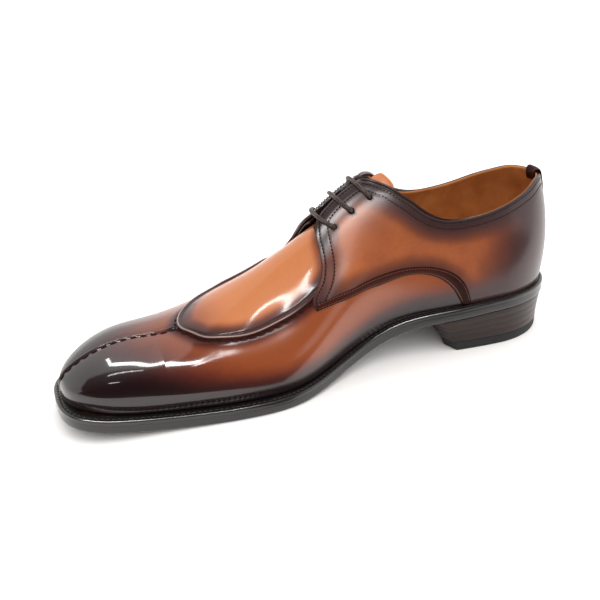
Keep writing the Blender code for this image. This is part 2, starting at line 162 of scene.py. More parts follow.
# =====================================================================================
# Pattern lines of the upper as (s, t), inner side; the outer side is the mirror in t.
# =====================================================================================
APRON_IN = ((238.4, .478), (237.0, .448), (233.8, .412), (227.7, .355), (219.9, .319), (211.1, .288), (200.6, .267),
            (188.3, .258), (176.5, .248), (167.4, .243), (158.0, .240), (146.0, .240))
APRON_OUT = ((238.4, .478), (237.0, .512), (233.4, .556), (227.6, .598), (221.6, .628), (215.0, .643), (208.0, .648), (200.0, .647),
             (190.0, .651), (182.0, .666), (174.0, .701), (167.4, .740), (158.0, .757), (146.0, .760))
FRONT_EDGE = ((165.8, .203), (166.6, .222), (165.6, .245), (160.5, .269), (157.6, .302), (157.0, .352), (156.7, .410),
              (154.9, .455), (152.6, .473), (149.5, .482))
THROAT_EDGE = ((149.5, .482), (145.9, .486), (138.6, .489), (133.0, .488), (129.5, .484), (127.0, .474))
TOPLINE = ((127.0, .474), (122.9, .441), (118.0, .405), (113.8, .379), (109.8, .351), (102.6, .307), (97.2, .275), (89.9, .243),
           (80.9, .222), (73.9, .216), (61.3, .216), (45.3, .230), (31.5, .253), (19.4, .277), (10.5, .296), (0.2, .303))
ARC_UP = ((165.8, .216), (155.0, .190), (144.0, .163), (133.5, .148), (123.8, .137), (110.6, .125), (97.8, .112),
          (85.1, .095), (74.7, .071), (67.4, .037), (63.6, .004))
ARC_LOW = ((165.8, .200), (155.0, .169), (144.4, .140), (133.5, .124), (123.5, .111), (110.2, .104), (99.8, .097),
           (87.0, .078), (76.8, .048), (71.2, .019), (69.0, .004))


def smooth(a, b, x):
    u = np.clip((np.asarray(x, float) - a) / (b - a), 0, 1)
    return u * u * (3 - 2 * u)


def bell(x, mid, width):
    return np.exp(-((np.asarray(x, float) - mid) / width) ** 2)


def dense(points, step=.6):
    """(s, t) line through the points, sampled about every step millimetres."""
    p = np.asarray(points, float)
    w = np.concatenate([[0], np.cumsum(np.linalg.norm(np.diff(p * (1, 130), axis=0), axis=1))])
    f = spline(w, p)
    q = f(np.linspace(0, w[-1], max(int(w[-1] / step), 8) + 1))
    return q


def mirrored(line):
    return np.column_stack([line[:, 0], 1 - line[:, 1]])


def on_surface(line, lift=0.0):
    p = surf(line[:, 0], line[:, 1])
    return p + lift * normal(line[:, 0], line[:, 1]) if lift else p


def resample(points, step=None, count=None):
    p = np.asarray(points, float)
    w = np.concatenate([[0], np.cumsum(np.linalg.norm(np.diff(p, axis=0), axis=1))])
    n = count if count else max(int(round(w[-1] / step)), 2)
    return np.linspace(0, w[-1], n + 1), w


def along(line, step):
    """(s, t) points every step millimetres of true length along a line on the surface."""
    q, w = resample(on_surface(line), step=step)
    return np.column_stack([np.interp(q, w, line[:, 0]), np.interp(q, w, line[:, 1])])


def moved(line, offset, parts=4):
    """The line shifted along the surface by offset millimetres, to its left seen from outside."""
    q = np.array(line, float)
    d0 = None
    for _ in range(parts):
        p = surf(q[:, 0], q[:, 1])
        n = normal(q[:, 0], q[:, 1])
        d = np.gradient(p, axis=0)
        side = np.cross(n, d)
        side /= np.maximum(np.linalg.norm(side, axis=1, keepdims=True), 1e-9)
        if d0 is None:
            d0 = side
        ps = (surf(np.minimum(q[:, 0] + .2, UPPER_TIP), q[:, 1]) - surf(np.maximum(q[:, 0] - .2, UPPER_BACK), q[:, 1])) / .4
        pt = (surf(q[:, 0], np.clip(q[:, 1] + .002, 0, 1)) - surf(q[:, 0], np.clip(q[:, 1] - .002, 0, 1))) / .004
        want = side * offset / parts
        a11, a12, a22 = (ps * ps).sum(1), (ps * pt).sum(1), (pt * pt).sum(1)
        b1, b2 = (ps * want).sum(1), (pt * want).sum(1)
        det = np.maximum(a11 * a22 - a12 ** 2, 1e-9)
        q[:, 0] += (a22 * b1 - a12 * b2) / det
        q[:, 1] += (a11 * b2 - a12 * b1) / det
        q[:, 0] = np.clip(q[:, 0], UPPER_BACK, UPPER_TIP)
        q[:, 1] = np.clip(q[:, 1], 0, 1)
    return q


def away(points, line):
    """Distance of points from a line of points in space."""
    p = np.asarray(points, float).reshape(-1, 3)
    a, b = line[:-1], line[1:]
    ab = b - a
    ll = np.maximum((ab ** 2).sum(1), 1e-9)
    out = np.empty(len(p))
    for k in range(0, len(p), 4000):
        q = p[k:k + 4000]
        u = np.clip(((q[:, None] - a) * ab).sum(-1) / ll, 0, 1)
        d = q[:, None] - (a + u[..., None] * ab)
        out[k:k + 4000] = np.sqrt((d ** 2).sum(-1).min(1))
    return out.reshape(np.shape(points)[:-1])


# =====================================================================================
# Mesh helpers
# =====================================================================================
def quads(nu, nv, wrap_u=False, wrap_v=False, base=0):
    i = np.arange(nu if wrap_u else nu - 1)
    j = np.arange(nv if wrap_v else nv - 1)
    i, j = np.meshgrid(i, j, indexing='ij')
    i2, j2 = (i + 1) % nu, (j + 1) % nv
    return np.stack([i * nv + j, i2 * nv + j, i2 * nv + j2, i * nv + j2], -1).reshape(-1, 4) + base


def make(name, points, faces, mats, attrs=None, mat_index=None, smooth_shade=True, recalc=True, replaces=(), slot=None,
         sharp=None):
    me = bpy.data.meshes.new(name)
    pts = (np.asarray(points, float) - ORIGIN) * MM
    me.from_pydata(pts.tolist(), [], [list(map(int, f)) for f in faces])
    for key, val in (attrs or {}).items():
        a = me.attributes.new(key, 'FLOAT', 'POINT')
        a.data.foreach_set('value', np.asarray(val, np.float32).ravel())
    for m in (mats if isinstance(mats, (list, tuple)) else [mats]):
        me.materials.append(m)
    if mat_index is not None:
        me.polygons.foreach_set('material_index', np.asarray(mat_index, np.int32))
    if recalc:
        bm = bmesh.new()
        bm.from_mesh(me)
        bmesh.ops.dissolve_degenerate(bm, dist=1e-8, edges=bm.edges[:])
        bmesh.ops.recalc_face_normals(bm, faces=bm.faces[:])
        bm.to_mesh(me)
        bm.free()
    if smooth_shade:
        me.shade_smooth()
    if sharp:
        me.set_sharp_from_angle(angle=np.radians(sharp))
    obj = bpy.data.objects.new(name, me)
    bpy.context.scene.collection.objects.link(obj)
    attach(obj, "root")
    if replaces:
        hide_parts(*replaces)
    return obj


def shell(name, outer, inner, mats, attrs=None, inner_mat=None, **kw):
    """Closed solid between two grids of points, with a rim round the border."""
    nu, nv = outer.shape[:2]
    n = nu * nv
    f = quads(nu, nv)
    border = np.concatenate([np.arange(nv), np.arange(1, nu) * nv + nv - 1,
                             (nu - 1) * nv + np.arange(nv - 2, -1, -1), np.arange(nu - 2, 0, -1) * nv])
    nxt = np.roll(border, -1)
    rim = np.stack([border, nxt, nxt + n, border + n], 1)
    faces = np.concatenate([f, f[:, ::-1] + n, rim])
    idx = None
    if inner_mat is not None:
        idx = np.concatenate([np.zeros(len(f)), np.full(len(f), inner_mat), np.zeros(len(rim))])
    at = {k: np.concatenate([np.ravel(v), np.ravel(v)]) for k, v in (attrs or {}).items()}
    return make(name, np.concatenate([outer.reshape(-1, 3), inner.reshape(-1, 3)]), faces, mats, at, idx, **kw)


def rounded(d, r):
    """0 at an edge, 1 from r inwards, along a quarter circle."""
    return np.sqrt(np.clip(1 - (1 - np.clip(d / r, 0, 1)) ** 2, 0, 1))


def beads(paths, normals, pitch, length, width, lift, arch=.16, slant=0.0, sides=6):
    """Thread stitches along lines: each one dips into the leather at both ends. slant turns them across the line."""
    prof = np.array([(-.5, .45, -.42), (-.40, .85, -.06), (-.2, 1., .75), (0, 1.05, 1.), (.2, 1., .75), (.40, .85, -.06), (.5, .45, -.42)])
    pts, faces, base = [], [], 0
    for p, nrm in zip(paths, normals):
        w = np.concatenate([[0], np.cumsum(np.linalg.norm(np.diff(p, axis=0), axis=1))])
        count = max(int(w[-1] / pitch), 1)
        q = (np.arange(count) + .5) * w[-1] / count
        c = np.stack([np.interp(q, w, p[:, k]) for k in range(3)], 1)
        n = np.stack([np.interp(q, w, nrm[:, k]) for k in range(3)], 1)
        n /= np.linalg.norm(n, axis=1, keepdims=True)
        d = np.stack([np.interp(q + .2, w, p[:, k]) - np.interp(q - .2, w, p[:, k]) for k in range(3)], 1)
        d -= n * (d * n).sum(1, keepdims=True)
        d /= np.linalg.norm(d, axis=1, keepdims=True)
        e = np.cross(n, d)
        if slant:
            a = np.radians(slant)
            d, e = np.cos(a) * d + np.sin(a) * e, np.cos(a) * e - np.sin(a) * d
        a = np.arange(sides) * 2 * np.pi / sides
        for k in range(count):
            rows = []
            for (u, r, h) in prof:
                m = c[k] + d[k] * u * length + n[k] * (lift + h * arch)
                rows.append(m + (np.cos(a)[:, None] * e[k] + .8 * np.sin(a)[:, None] * n[k]) * (width / 2 * r))
            pts.append(np.concatenate(rows))
            f = quads(len(prof), sides, wrap_v=True, base=base)
            faces.extend(f.tolist())
            faces.append([base + j for j in range(sides - 1, -1, -1)])
            last = base + (len(prof) - 1) * sides
            faces.append([last + j for j in range(sides)])
            base += len(prof) * sides
    return np.concatenate(pts), faces


def tube(path, radius, sides):
    p = np.asarray(path, float)
    d = np.gradient(p, axis=0)
    d /= np.linalg.norm(d, axis=1, keepdims=True)
    u = np.cross(d[0], (0, 0, 1.0))
    rings, r = [], np.broadcast_to(radius, len(p))
    for k in range(len(p)):
        u = u - d[k] * (u @ d[k])
        u /= np.linalg.norm(u)
        v = np.cross(d[k], u)
        a = np.arange(sides) * 2 * np.pi / sides
        rings.append(p[k] + r[k] * (np.cos(a)[:, None] * u + np.sin(a)[:, None] * v))
    pts = np.concatenate(rings)
    faces = quads(len(p), sides, wrap_v=True).tolist()
    faces.append(list(range(sides - 1, -1, -1)))
    faces.append([(len(p) - 1) * sides + j for j in range(sides)])
    return pts, faces


# =====================================================================================
# Materials
# =====================================================================================
def srgb(r, g, b):
    c = np.array([r, g, b], float) / 255
    c = np.where(c <= .04045, c / 12.92, ((c + .055) / 1.055) ** 2.4)
    return (*c, 1.0)


class Nodes:
    def __init__(self, name):
        self.m = bpy.data.materials.new(name)
        self.m.use_nodes = True
        self.t = self.m.node_tree
        self.p = self.t.nodes['Principled BSDF']
        self.x = -300

    def add(self, kind, **props):
        n = self.t.nodes.new(kind)
        n.location = (self.x, 300)
        self.x -= 180
        for k, v in props.items():
            setattr(n, k, v)
        return n

    def link(self, a, b):
        self.t.links.new(a, b)

    def noise(self, scale, detail=3.0, rough=.55, distortion=0.0, vec=None):
        n = self.add('ShaderNodeTexNoise')
        n.inputs['Scale'].default_value = scale
        n.inputs['Detail'].default_value = detail
        n.inputs['Roughness'].default_value = rough
        n.inputs['Distortion'].default_value = distortion
        self.link(vec if vec is not None else self.coords(), n.inputs['Vector'])
        return n.outputs['Fac']

    def coords(self):
        if not hasattr(self, '_c'):
            self._c = self.add('ShaderNodeTexCoord').outputs['Object']
        return self._c

    def stretched(self, sx, sy, sz):
        m = self.add('ShaderNodeMapping')
        m.inputs['Scale'].default_value = (sx, sy, sz)
        self.link(self.coords(), m.inputs['Vector'])
        return m.outputs['Vector']

    def attr(self, name):
        a = self.add('ShaderNodeAttribute')
        a.attribute_name = name
        return a.outputs['Fac']

    def math(self, op, a, b, clamp=False):
        n = self.add('ShaderNodeMath', operation=op, use_clamp=clamp)
        for k, v in enumerate((a, b)):
            if isinstance(v, (int, float)):
                n.inputs[k].default_value = v
            else:
                self.link(v, n.inputs[k])
        return n.outputs[0]

    def ramp(self, fac, stops, ease='B_SPLINE'):
        n = self.add('ShaderNodeValToRGB')
        r = n.color_ramp
        r.interpolation = ease
        while len(r.elements) < len(stops):
            r.elements.new(.5)
        for e, (pos, col) in zip(r.elements, stops):
            e.position = pos
            e.color = col
        self.link(fac, n.inputs['Fac'])
        return n.outputs['Color']

    def bump(self, height, strength, distance, before=None):
        n = self.add('ShaderNodeBump')
        n.inputs['Strength'].default_value = strength
        n.inputs['Distance'].default_value = distance
        self.link(height, n.inputs['Height'])
        if before is not None:
            self.link(before, n.inputs['Normal'])
        return n.outputs['Normal']

    def set(self, **v):
        for k, x in v.items():
            self.p.inputs[k.replace('_', ' ')].default_value = x


def leather(name, stops, rough=.42, coat=.9, coat_rough=.05, coat_ior=1.55, sheen=.16, mottle=.09, grain=.05, wrinkle=.05,
            matt=False, gloss=False):
    """Hand-burnished smooth calf: colour follows an attribute of burnish and painted shade, broken up by cloudy and
    streaky stain.
    """
    k = Nodes(name)
    cloud = k.noise(70, 4, .6)
    fine = k.noise(420, 3, .6)
    b = k.math('ADD', k.attr('burn_and_shade'), k.math('MULTIPLY', k.math('SUBTRACT', cloud, .5), mottle * 1.6))
    b = k.math('ADD', b, k.math('MULTIPLY', k.math('SUBTRACT', fine, .5), mottle * .55), clamp=True)
    k.link(k.ramp(b, stops), k.p.inputs['Base Color'])
    v = k.add('ShaderNodeTexVoronoi', feature='F1')
    v.inputs['Scale'].default_value = 1300
    k.link(k.coords(), v.inputs['Vector'])
    n1 = k.bump(v.outputs['Distance'], grain * 2.2, .00012)
    n2 = k.bump(k.noise(2600, 3, .6), grain * 1.6, .0001, n1)
    n3 = k.bump(k.noise(160, 2, .5), wrinkle, .0004, n2)
    k.link(n3, k.p.inputs['Normal'])
    r = k.math('ADD', k.math('MULTIPLY', fine, .10), rough - .05)
    k.link(r, k.p.inputs['Roughness'])
    k.set(Specular_IOR_Level=sheen, Coat_Weight=coat, Coat_Roughness=coat_rough, Coat_IOR=coat_ior)
    if matt:
        k.link(k.attr('matt'), k.p.inputs['Coat Roughness'])
    if gloss:
        k.link(k.attr('gloss'), k.p.inputs['Coat Weight'])
        k.link(k.math('MULTIPLY', k.attr('gloss'), sheen / coat), k.p.inputs['Specular IOR Level'])
    return k.m


SIDE_STOPS = ((0.0, srgb(154, 75, 31)), (.28, srgb(126, 54, 25)), (.52, srgb(88, 34, 22)), (.76, srgb(54, 21, 20)), (1.0, srgb(20, 8, 10)))
APRON_STOPS = ((0.0, srgb(216, 134, 82)), (.28, srgb(182, 102, 60)), (.55, srgb(118, 62, 47)), (.8, srgb(82, 50, 46)), (1.0, srgb(50, 32, 32)))
QUARTER_STOPS = ((0.0, srgb(188, 99, 44)), (.14, srgb(158, 80, 35)), (.28, srgb(130, 63, 29)), (.52, srgb(96, 46, 32)), (.76, srgb(74, 39, 36)), (1.0, srgb(50, 28, 28)))
# the tongue's darkest stops are painted shade, for its part under the facings
TONGUE_STOPS = ((0.0, srgb(236, 150, 96)), (.3, srgb(200, 112, 66)), (.6, srgb(84, 42, 30)), (1.0, srgb(22, 14, 13)))

M_SIDE = leather('side_calf', SIDE_STOPS, coat=1.0, coat_ior=1.6, mottle=.12, matt=True, gloss=True)
M_SIDE_FAR = leather('side_calf_far', SIDE_STOPS, rough=.5, coat=.5, coat_rough=.12, coat_ior=1.45, mottle=.12)
M_APRON = leather('apron_calf', APRON_STOPS, coat=.6, coat_rough=.085, coat_ior=1.45, sheen=.2, mottle=.07, grain=.16, wrinkle=.3)
M_QUARTER = leather('quarter_calf', QUARTER_STOPS, rough=.45, coat=.75, coat_rough=.24, sheen=.22, mottle=.13, grain=.09, wrinkle=.08, gloss=True)
M_TONGUE = leather('tongue_calf', TONGUE_STOPS, rough=.5, coat=.3, coat_rough=.3)
M_EDGE = leather('edge_calf', ((0.0, srgb(108, 50, 32)), (.5, srgb(64, 25, 18)), (1.0, srgb(32, 14, 12))), rough=.5, coat=.1, coat_rough=.25, sheen=.06)
# the lip's pale stops are a painted highlight along the lip's top
M_LIP_HIGHLIGHT = leather('lip_calf_painted_highlight', ((0.0, srgb(192, 166, 156)), (.5, srgb(142, 112, 104)), (1.0, srgb(60, 38, 36))), rough=.4, coat=.9, coat_rough=.12)


def lining_mat():
    k = Nodes('lining_calf')
    c = k.math('SUBTRACT', k.noise(60, 4, .6), k.attr('shade'), clamp=True)
    stops = ((0, srgb(26, 15, 11)), (.16, srgb(70, 38, 22)), (.3, srgb(166, 99, 49)), (.55, srgb(190, 120, 64)), (.8, srgb(204, 136, 78)))
    k.link(k.ramp(c, stops, 'LINEAR'), k.p.inputs['Base Color'])
    n = k.bump(k.noise(1500, 3, .6), .25, .00015)
    k.link(k.bump(k.noise(240, 3), .12, .0003, n), k.p.inputs['Normal'])
    k.set(Roughness=.55, Specular_IOR_Level=.35)
    return k.m


def black_edge(name, base, light, rough, coat, scratch=.5):
    """Inked and waxed sole edge."""
    k = Nodes(name)
    lines = k.noise(60, 4, .65, vec=k.stretched(1, 1, 22))
    f = k.math('ADD', k.math('MULTIPLY', lines, scratch), k.math('MULTIPLY', k.noise(500, 3), 1 - scratch))
    k.link(k.ramp(f, ((.3, base), (.75, light))), k.p.inputs['Base Color'])
    k.link(k.bump(f, .12, .0004), k.p.inputs['Normal'])
    k.link(k.math('ADD', k.math('MULTIPLY', f, .2), rough - .1), k.p.inputs['Roughness'])
    k.set(Specular_IOR_Level=.5, Coat_Weight=coat, Coat_Roughness=.12)
    return k.m


def heel_mat():
    """Stacked leather: thin lifts with reddish streaks under dark wax."""
    k = Nodes('stacked_heel')
    streak = k.noise(45, 5, .65, vec=k.stretched(1, 1, 16))
    fine = k.noise(160, 4, .6, vec=k.stretched(1, 1, 9))
    f = k.math('ADD', k.math('MULTIPLY', streak, .65), k.math('MULTIPLY', fine, .35))
    k.link(k.ramp(f, ((.34, srgb(20, 11, 10)), (.5, srgb(34, 17, 13)), (.62, srgb(52, 25, 18)), (.78, srgb(74, 36, 25)))), k.p.inputs['Base Color'])
    k.link(k.bump(f, .12, .0004), k.p.inputs['Normal'])
    k.set(Roughness=.4, Specular_IOR_Level=.25, Coat_Weight=.3, Coat_Roughness=.2)
    return k.m


def tread_mat():
    k = Nodes('tread_leather')
    c = k.noise(35, 5, .65)
    k.link(k.ramp(c, ((.3, srgb(22, 18, 17)), (.6, srgb(40, 32, 29)), (.8, srgb(58, 46, 40)))), k.p.inputs['Base Color'])
    k.link(k.bump(k.noise(900, 4, .65), .3, .0003), k.p.inputs['Normal'])
    k.set(Roughness=.42, Specular_IOR_Level=.45, Coat_Weight=.25, Coat_Roughness=.2)
    return k.m


def rubber_mat():
    k = Nodes('rubber_lift')
    k.link(k.ramp(k.noise(700, 4), ((.3, srgb(20, 20, 21)), (.75, srgb(40, 39, 39)))), k.p.inputs['Base Color'])
    k.link(k.bump(k.noise(1600, 3), .3, .0002), k.p.inputs['Normal'])
    k.set(Roughness=.62, Specular_IOR_Level=.4)
    return k.m


def cord_mat():
    """Waxed round lace with a fine braid."""
    k = Nodes('waxed_lace')
    w = k.add('ShaderNodeTexWave', wave_type='BANDS', bands_direction='DIAGONAL')
    w.inputs['Scale'].default_value = 420
    w.inputs['Distortion'].default_value = 1.5
    k.link(k.coords(), w.inputs['Vector'])
    v = k.add('ShaderNodeTexVoronoi')
    v.inputs['Scale'].default_value = 1900
    k.link(k.coords(), v.inputs['Vector'])
    f = k.math('ADD', k.math('MULTIPLY', w.outputs['Fac'], .5), k.math('MULTIPLY', v.outputs['Distance'], .6))
    k.link(k.ramp(f, ((.2, srgb(38, 28, 24)), (.6, srgb(66, 52, 44)), (.95, srgb(92, 75, 64)))), k.p.inputs['Base Color'])
    k.link(k.bump(f, .6, .00025), k.p.inputs['Normal'])
    k.set(Roughness=.45, Specular_IOR_Level=.5)
    return k.m


def thread_mat(name, dark, light):
    k = Nodes(name)
    k.link(k.ramp(k.noise(1400, 2), ((.3, dark), (.7, light))), k.p.inputs['Base Color'])
    k.link(k.bump(k.noise(3000, 2), .4, .0001), k.p.inputs['Normal'])
    k.set(Roughness=.6, Specular_IOR_Level=.12)
    return k.m


M_LINING = lining_mat()
M_WELT = black_edge('welt_black', srgb(12, 11, 12), srgb(30, 27, 27), .32, .7, .4)
M_SOLE = black_edge('sole_edge_black', srgb(12, 11, 12), srgb(30, 27, 27), .32, .5, .4)
M_TREAD = tread_mat()
M_HEEL = heel_mat()
M_RUBBER = rubber_mat()
M_LACE = cord_mat()
M_THREAD = thread_mat('thread_dark', srgb(30, 18, 16), srgb(52, 32, 27))
M_THREAD_B = thread_mat('thread_brown', srgb(84, 50, 36), srgb(128, 84, 62))
M_THREAD_W = thread_mat('thread_welt', srgb(38, 31, 28), srgb(86, 74, 66))

# =====================================================================================
# Upper
# =====================================================================================
apron_in, apron_out = dense(APRON_IN), dense(APRON_OUT)
front, throat, topline = dense(FRONT_EDGE, .4), dense(THROAT_EDGE, .5), dense(TOPLINE, .8)
arc_up, arc_low = dense(ARC_UP, .7), dense(ARC_LOW, .7)
SEAM_S = eased(238.4, UPPER_TIP, 90, start=False)
seam = np.column_stack([SEAM_S, .5 - .02 * smooth(262, 238.4, SEAM_S)])
front_wall = np.column_stack([np.full(12, UPPER_TIP), np.linspace(.5, 0, 12)])
toe_line = np.concatenate([on_surface(seam), on_surface(front_wall)[1:]])
feather_s = np.concatenate([eased(UPPER_BACK, 150, 150), eased(150, UPPER_TIP, 150, start=False)[1:]])


def side(line, outer):
    return mirrored(line) if outer else line


def feather(outer):
    return surf(feather_s, 1.0 if outer else 0.0)


HAND_PITCH, SIDE_SPLIT = 5.1, 250.0


def build_side(outer):
    """Side vamp: from the toe seam along the apron and on under the quarter to the arch."""
    tag = 'outer' if outer else 'inner'
    apron = apron_out if outer else apron_in
    ap = apron if not outer else mirrored(apron)
    ap = ap[ap[:, 0] >= 166.5]
    under = dense([(166.4, ap[-1, 1])] + [(s, t + .02) for s, t in ARC_UP[1:-1]] + [(60.5, .012), (57, .004)], .8)
    up = seam[::-1] if not outer else np.column_stack([seam[::-1, 0], 1 - seam[::-1, 1]])
    line = np.concatenate([up, ap[1:], under[1:]])
    v = np.concatenate([np.linspace(0, .12, 6), np.linspace(.12, .9, 34)[1:], 1 - eased(.1, 0, 22, start=False)[1:]])
    S = line[:, :1] + 0 * v
    T = line[:, 1:] * v
    T = 1 - T if outer else T
    P, N = surf(S, T), normal(S, T)
    edge = on_surface(apron)
    d_seam, d_apron = away(P, toe_line), away(P, edge)
    d_feather = away(P, feather(outer))
    if outer:
        h = .55 * bell(d_seam, .45, .8)
    else:
        h = .45 * bell(d_seam, 0, .7) - .3 * bell(d_seam, 1.7, .8)
    w = np.concatenate([[0], np.cumsum(np.linalg.norm(np.diff(on_surface(np.concatenate([up, ap[1:]])), axis=0), axis=1))])
    w = np.concatenate([w, np.full(len(line) - len(w), w[-1])])
    at_seam, pull = w < w[len(up) - 1], .5 + .5 * np.cos(2 * np.pi * (w - w[len(up) - 1]) / HAND_PITCH)
    sewn = np.where(at_seam[:, None], (not outer) * bell(d_seam, 1.8, .9), bell(d_apron, 1.2, .9))
    h = h - .45 * bell(d_apron, 0, 1.2) + .1 * bell(d_apron, 3.6, 1.9) - .18 * pull[:, None] * sewn
    h *= smooth(0, 3.0, d_feather)
    P1 = P + N * h[..., None]
    P0 = P - N * 1.2
    # the lasting margin turns in over the welt
    inward = -N[:, 0] * (1, 1, 0)
    inward /= np.maximum(np.linalg.norm(inward, axis=1, keepdims=True), 1e-6)
    tuck1 = P[:, 0] + inward * .5 - (0, 0, .22)
    tuck2 = P[:, 0] + inward * 2.6 - (0, 0, .28)
    outer_pts = np.concatenate([tuck2[:, None], tuck1[:, None], P1], 1)
    inner_pts = np.concatenate([(tuck2 + (0, 0, 1.0))[:, None], (P0[:, 0] + inward * 1.2 + (0, 0, .6))[:, None], P0], 1)
    tin = np.minimum(T, 1 - T)
    toe = smooth(200, 270, S - 105 * (tin - .18))
    # darker towards the feather edge: partly burnish, partly painted shade on the undercut wall above the welt
    low = 1 - smooth(2, 15 + 9 * smooth(150, 185, S), d_feather)
    waist = smooth(190, 145, S) * (1 - smooth(6, 25, d_feather)) * .6
    near = .66 * (1 - smooth(1.2, 8.5, d_apron)) + .3 * (1 - smooth(0, 7, d_seam))
    burn_and_shade = 1 - (1 - toe * .98) * (1 - low) * (1 - np.clip(waist, 0, 1)) * (1 - np.clip(near, 0, .85))
    burn_and_shade = np.concatenate([np.ones((len(line), 2)), burn_and_shade], 1)
    matt = .07 + .16 * smooth(246, 160, line[:, :1]) + 0 * burn_and_shade
    gloss = 1 - .8 * (1 - smooth(1.5, 6.5, d_apron))          # duller along the apron's seam
    gloss = np.concatenate([gloss[:, :1], gloss[:, :1], gloss], 1)
    if outer:
        return [shell('side_vamp_outer', outer_pts, inner_pts, M_SIDE_FAR, {'burn_and_shade': burn_and_shade, 'matt': matt}, slot='upper_leather')]
    n = np.cross(np.gradient(outer_pts, axis=1), np.gradient(outer_pts, axis=0))
    n /= np.maximum(np.linalg.norm(n, axis=-1, keepdims=True), 1e-9)
    flat = np.concatenate([N[:, :1], N[:, :1], N], 1)
    n = np.where((n * flat).sum(-1, keepdims=True) < 0, -n, n)
    n = np.where((n * flat).sum(-1, keepdims=True) < .3, flat, n)
    cut = int(np.argmin(np.abs(line[:, 0] - SIDE_SPLIT)))
    made = []
    for name, rows_ in (('side_vamp_inner', slice(cut, None)), ('side_vamp_inner_toe', slice(None, cut + 1))):
        at = {'burn_and_shade': burn_and_shade[rows_], 'matt': matt[rows_], 'gloss': gloss[rows_], 'nx': n[rows_][..., 0], 'ny': n[rows_][..., 1], 'nz': n[rows_][..., 2]}
        obj = shell(name, outer_pts[rows_], inner_pts[rows_], M_SIDE, at, slot='upper_leather',
                    replaces=('upper',) if not made else ())
        me = obj.data
        vn = np.zeros((len(me.vertices), 3), np.float32)
        for k, key in enumerate(('nx', 'ny', 'nz')):
            col = np.zeros(len(vn), np.float32)
            me.attributes[key].data.foreach_get('value', col)
            vn[:, k] = col
        me.normals_split_custom_set_from_vertices(vn.tolist())
        for key in ('nx', 'ny', 'nz'):
            me.attributes.remove(me.attributes[key])
        made.append(obj)
    return made


DIP = spline((140, 150, 157, 163, 170, 176, 182, 190), (5.2, 5.0, 4.2, 2.9, 1.6, .5, .1, 0))


def dip(s, t):
    """How far the apron lies under the form's surface where it runs in below the facings."""
    over = np.where(t < .54, smooth(.02, .20, .54 - t), smooth(.03, .26, t - .54))
    return np.where(s < 188, np.maximum(DIP(np.clip(s, 140, 190)), 0), 0) * (1 - over)


def build_apron():
    s = np.concatenate([eased(238.4, 205, 60)[:-1], np.linspace(205, 146, 90)])
    t0 = np.interp(-s, -apron_in[:, 0], apron_in[:, 1])
    t1 = np.interp(-s, -apron_out[:, 0], apron_out[:, 1])
    e = eased(0, .13, 22)
    v = np.concatenate([e, np.linspace(.13, .87, 50)[1:-1], 1 - e[::-1]])
    S = s[:, None] + 0 * v
    T = t0[:, None] + (t1 - t0)[:, None] * v
    P, N = surf(S, T), normal(S, T)
    rim = np.concatenate([on_surface(apron_in)[::-1], on_surface(apron_out)[1:]])
    d = away(P, rim)
    back = smooth(158, 166, S)                     # the lip fades out under the facings
    proud = np.where(T > .55, .5 * smooth(170, 178, S) * smooth(212, 202, S), 0)         # the lip stands higher on the outer side
    h = (.25 + (.95 + proud) * bell(d, .85, .7) * back - .35 * bell(d, 2.4, .6) * back) * rounded(d, .6)
    h = h - dip(S, T)
    P1, P0 = P + N * h[..., None], P + N * (np.minimum(h, 0) - 1.1)[..., None]
    fac = away(P, on_surface(front))
    fac2 = away(P, on_surface(mirrored(front)))
    lip = 1 - smooth(2.5, 11.5, d)
    tip = smooth(206, 240, S) * .55
    shade = .5 * (1 - smooth(0, 7, np.minimum(fac, fac2)))
    burn_and_shade = 1 - (1 - .86 * lip) * (1 - tip) * (1 - shade)
    return shell('apron', P1, P0, M_APRON, {'burn_and_shade': burn_and_shade}, slot='upper_leather')


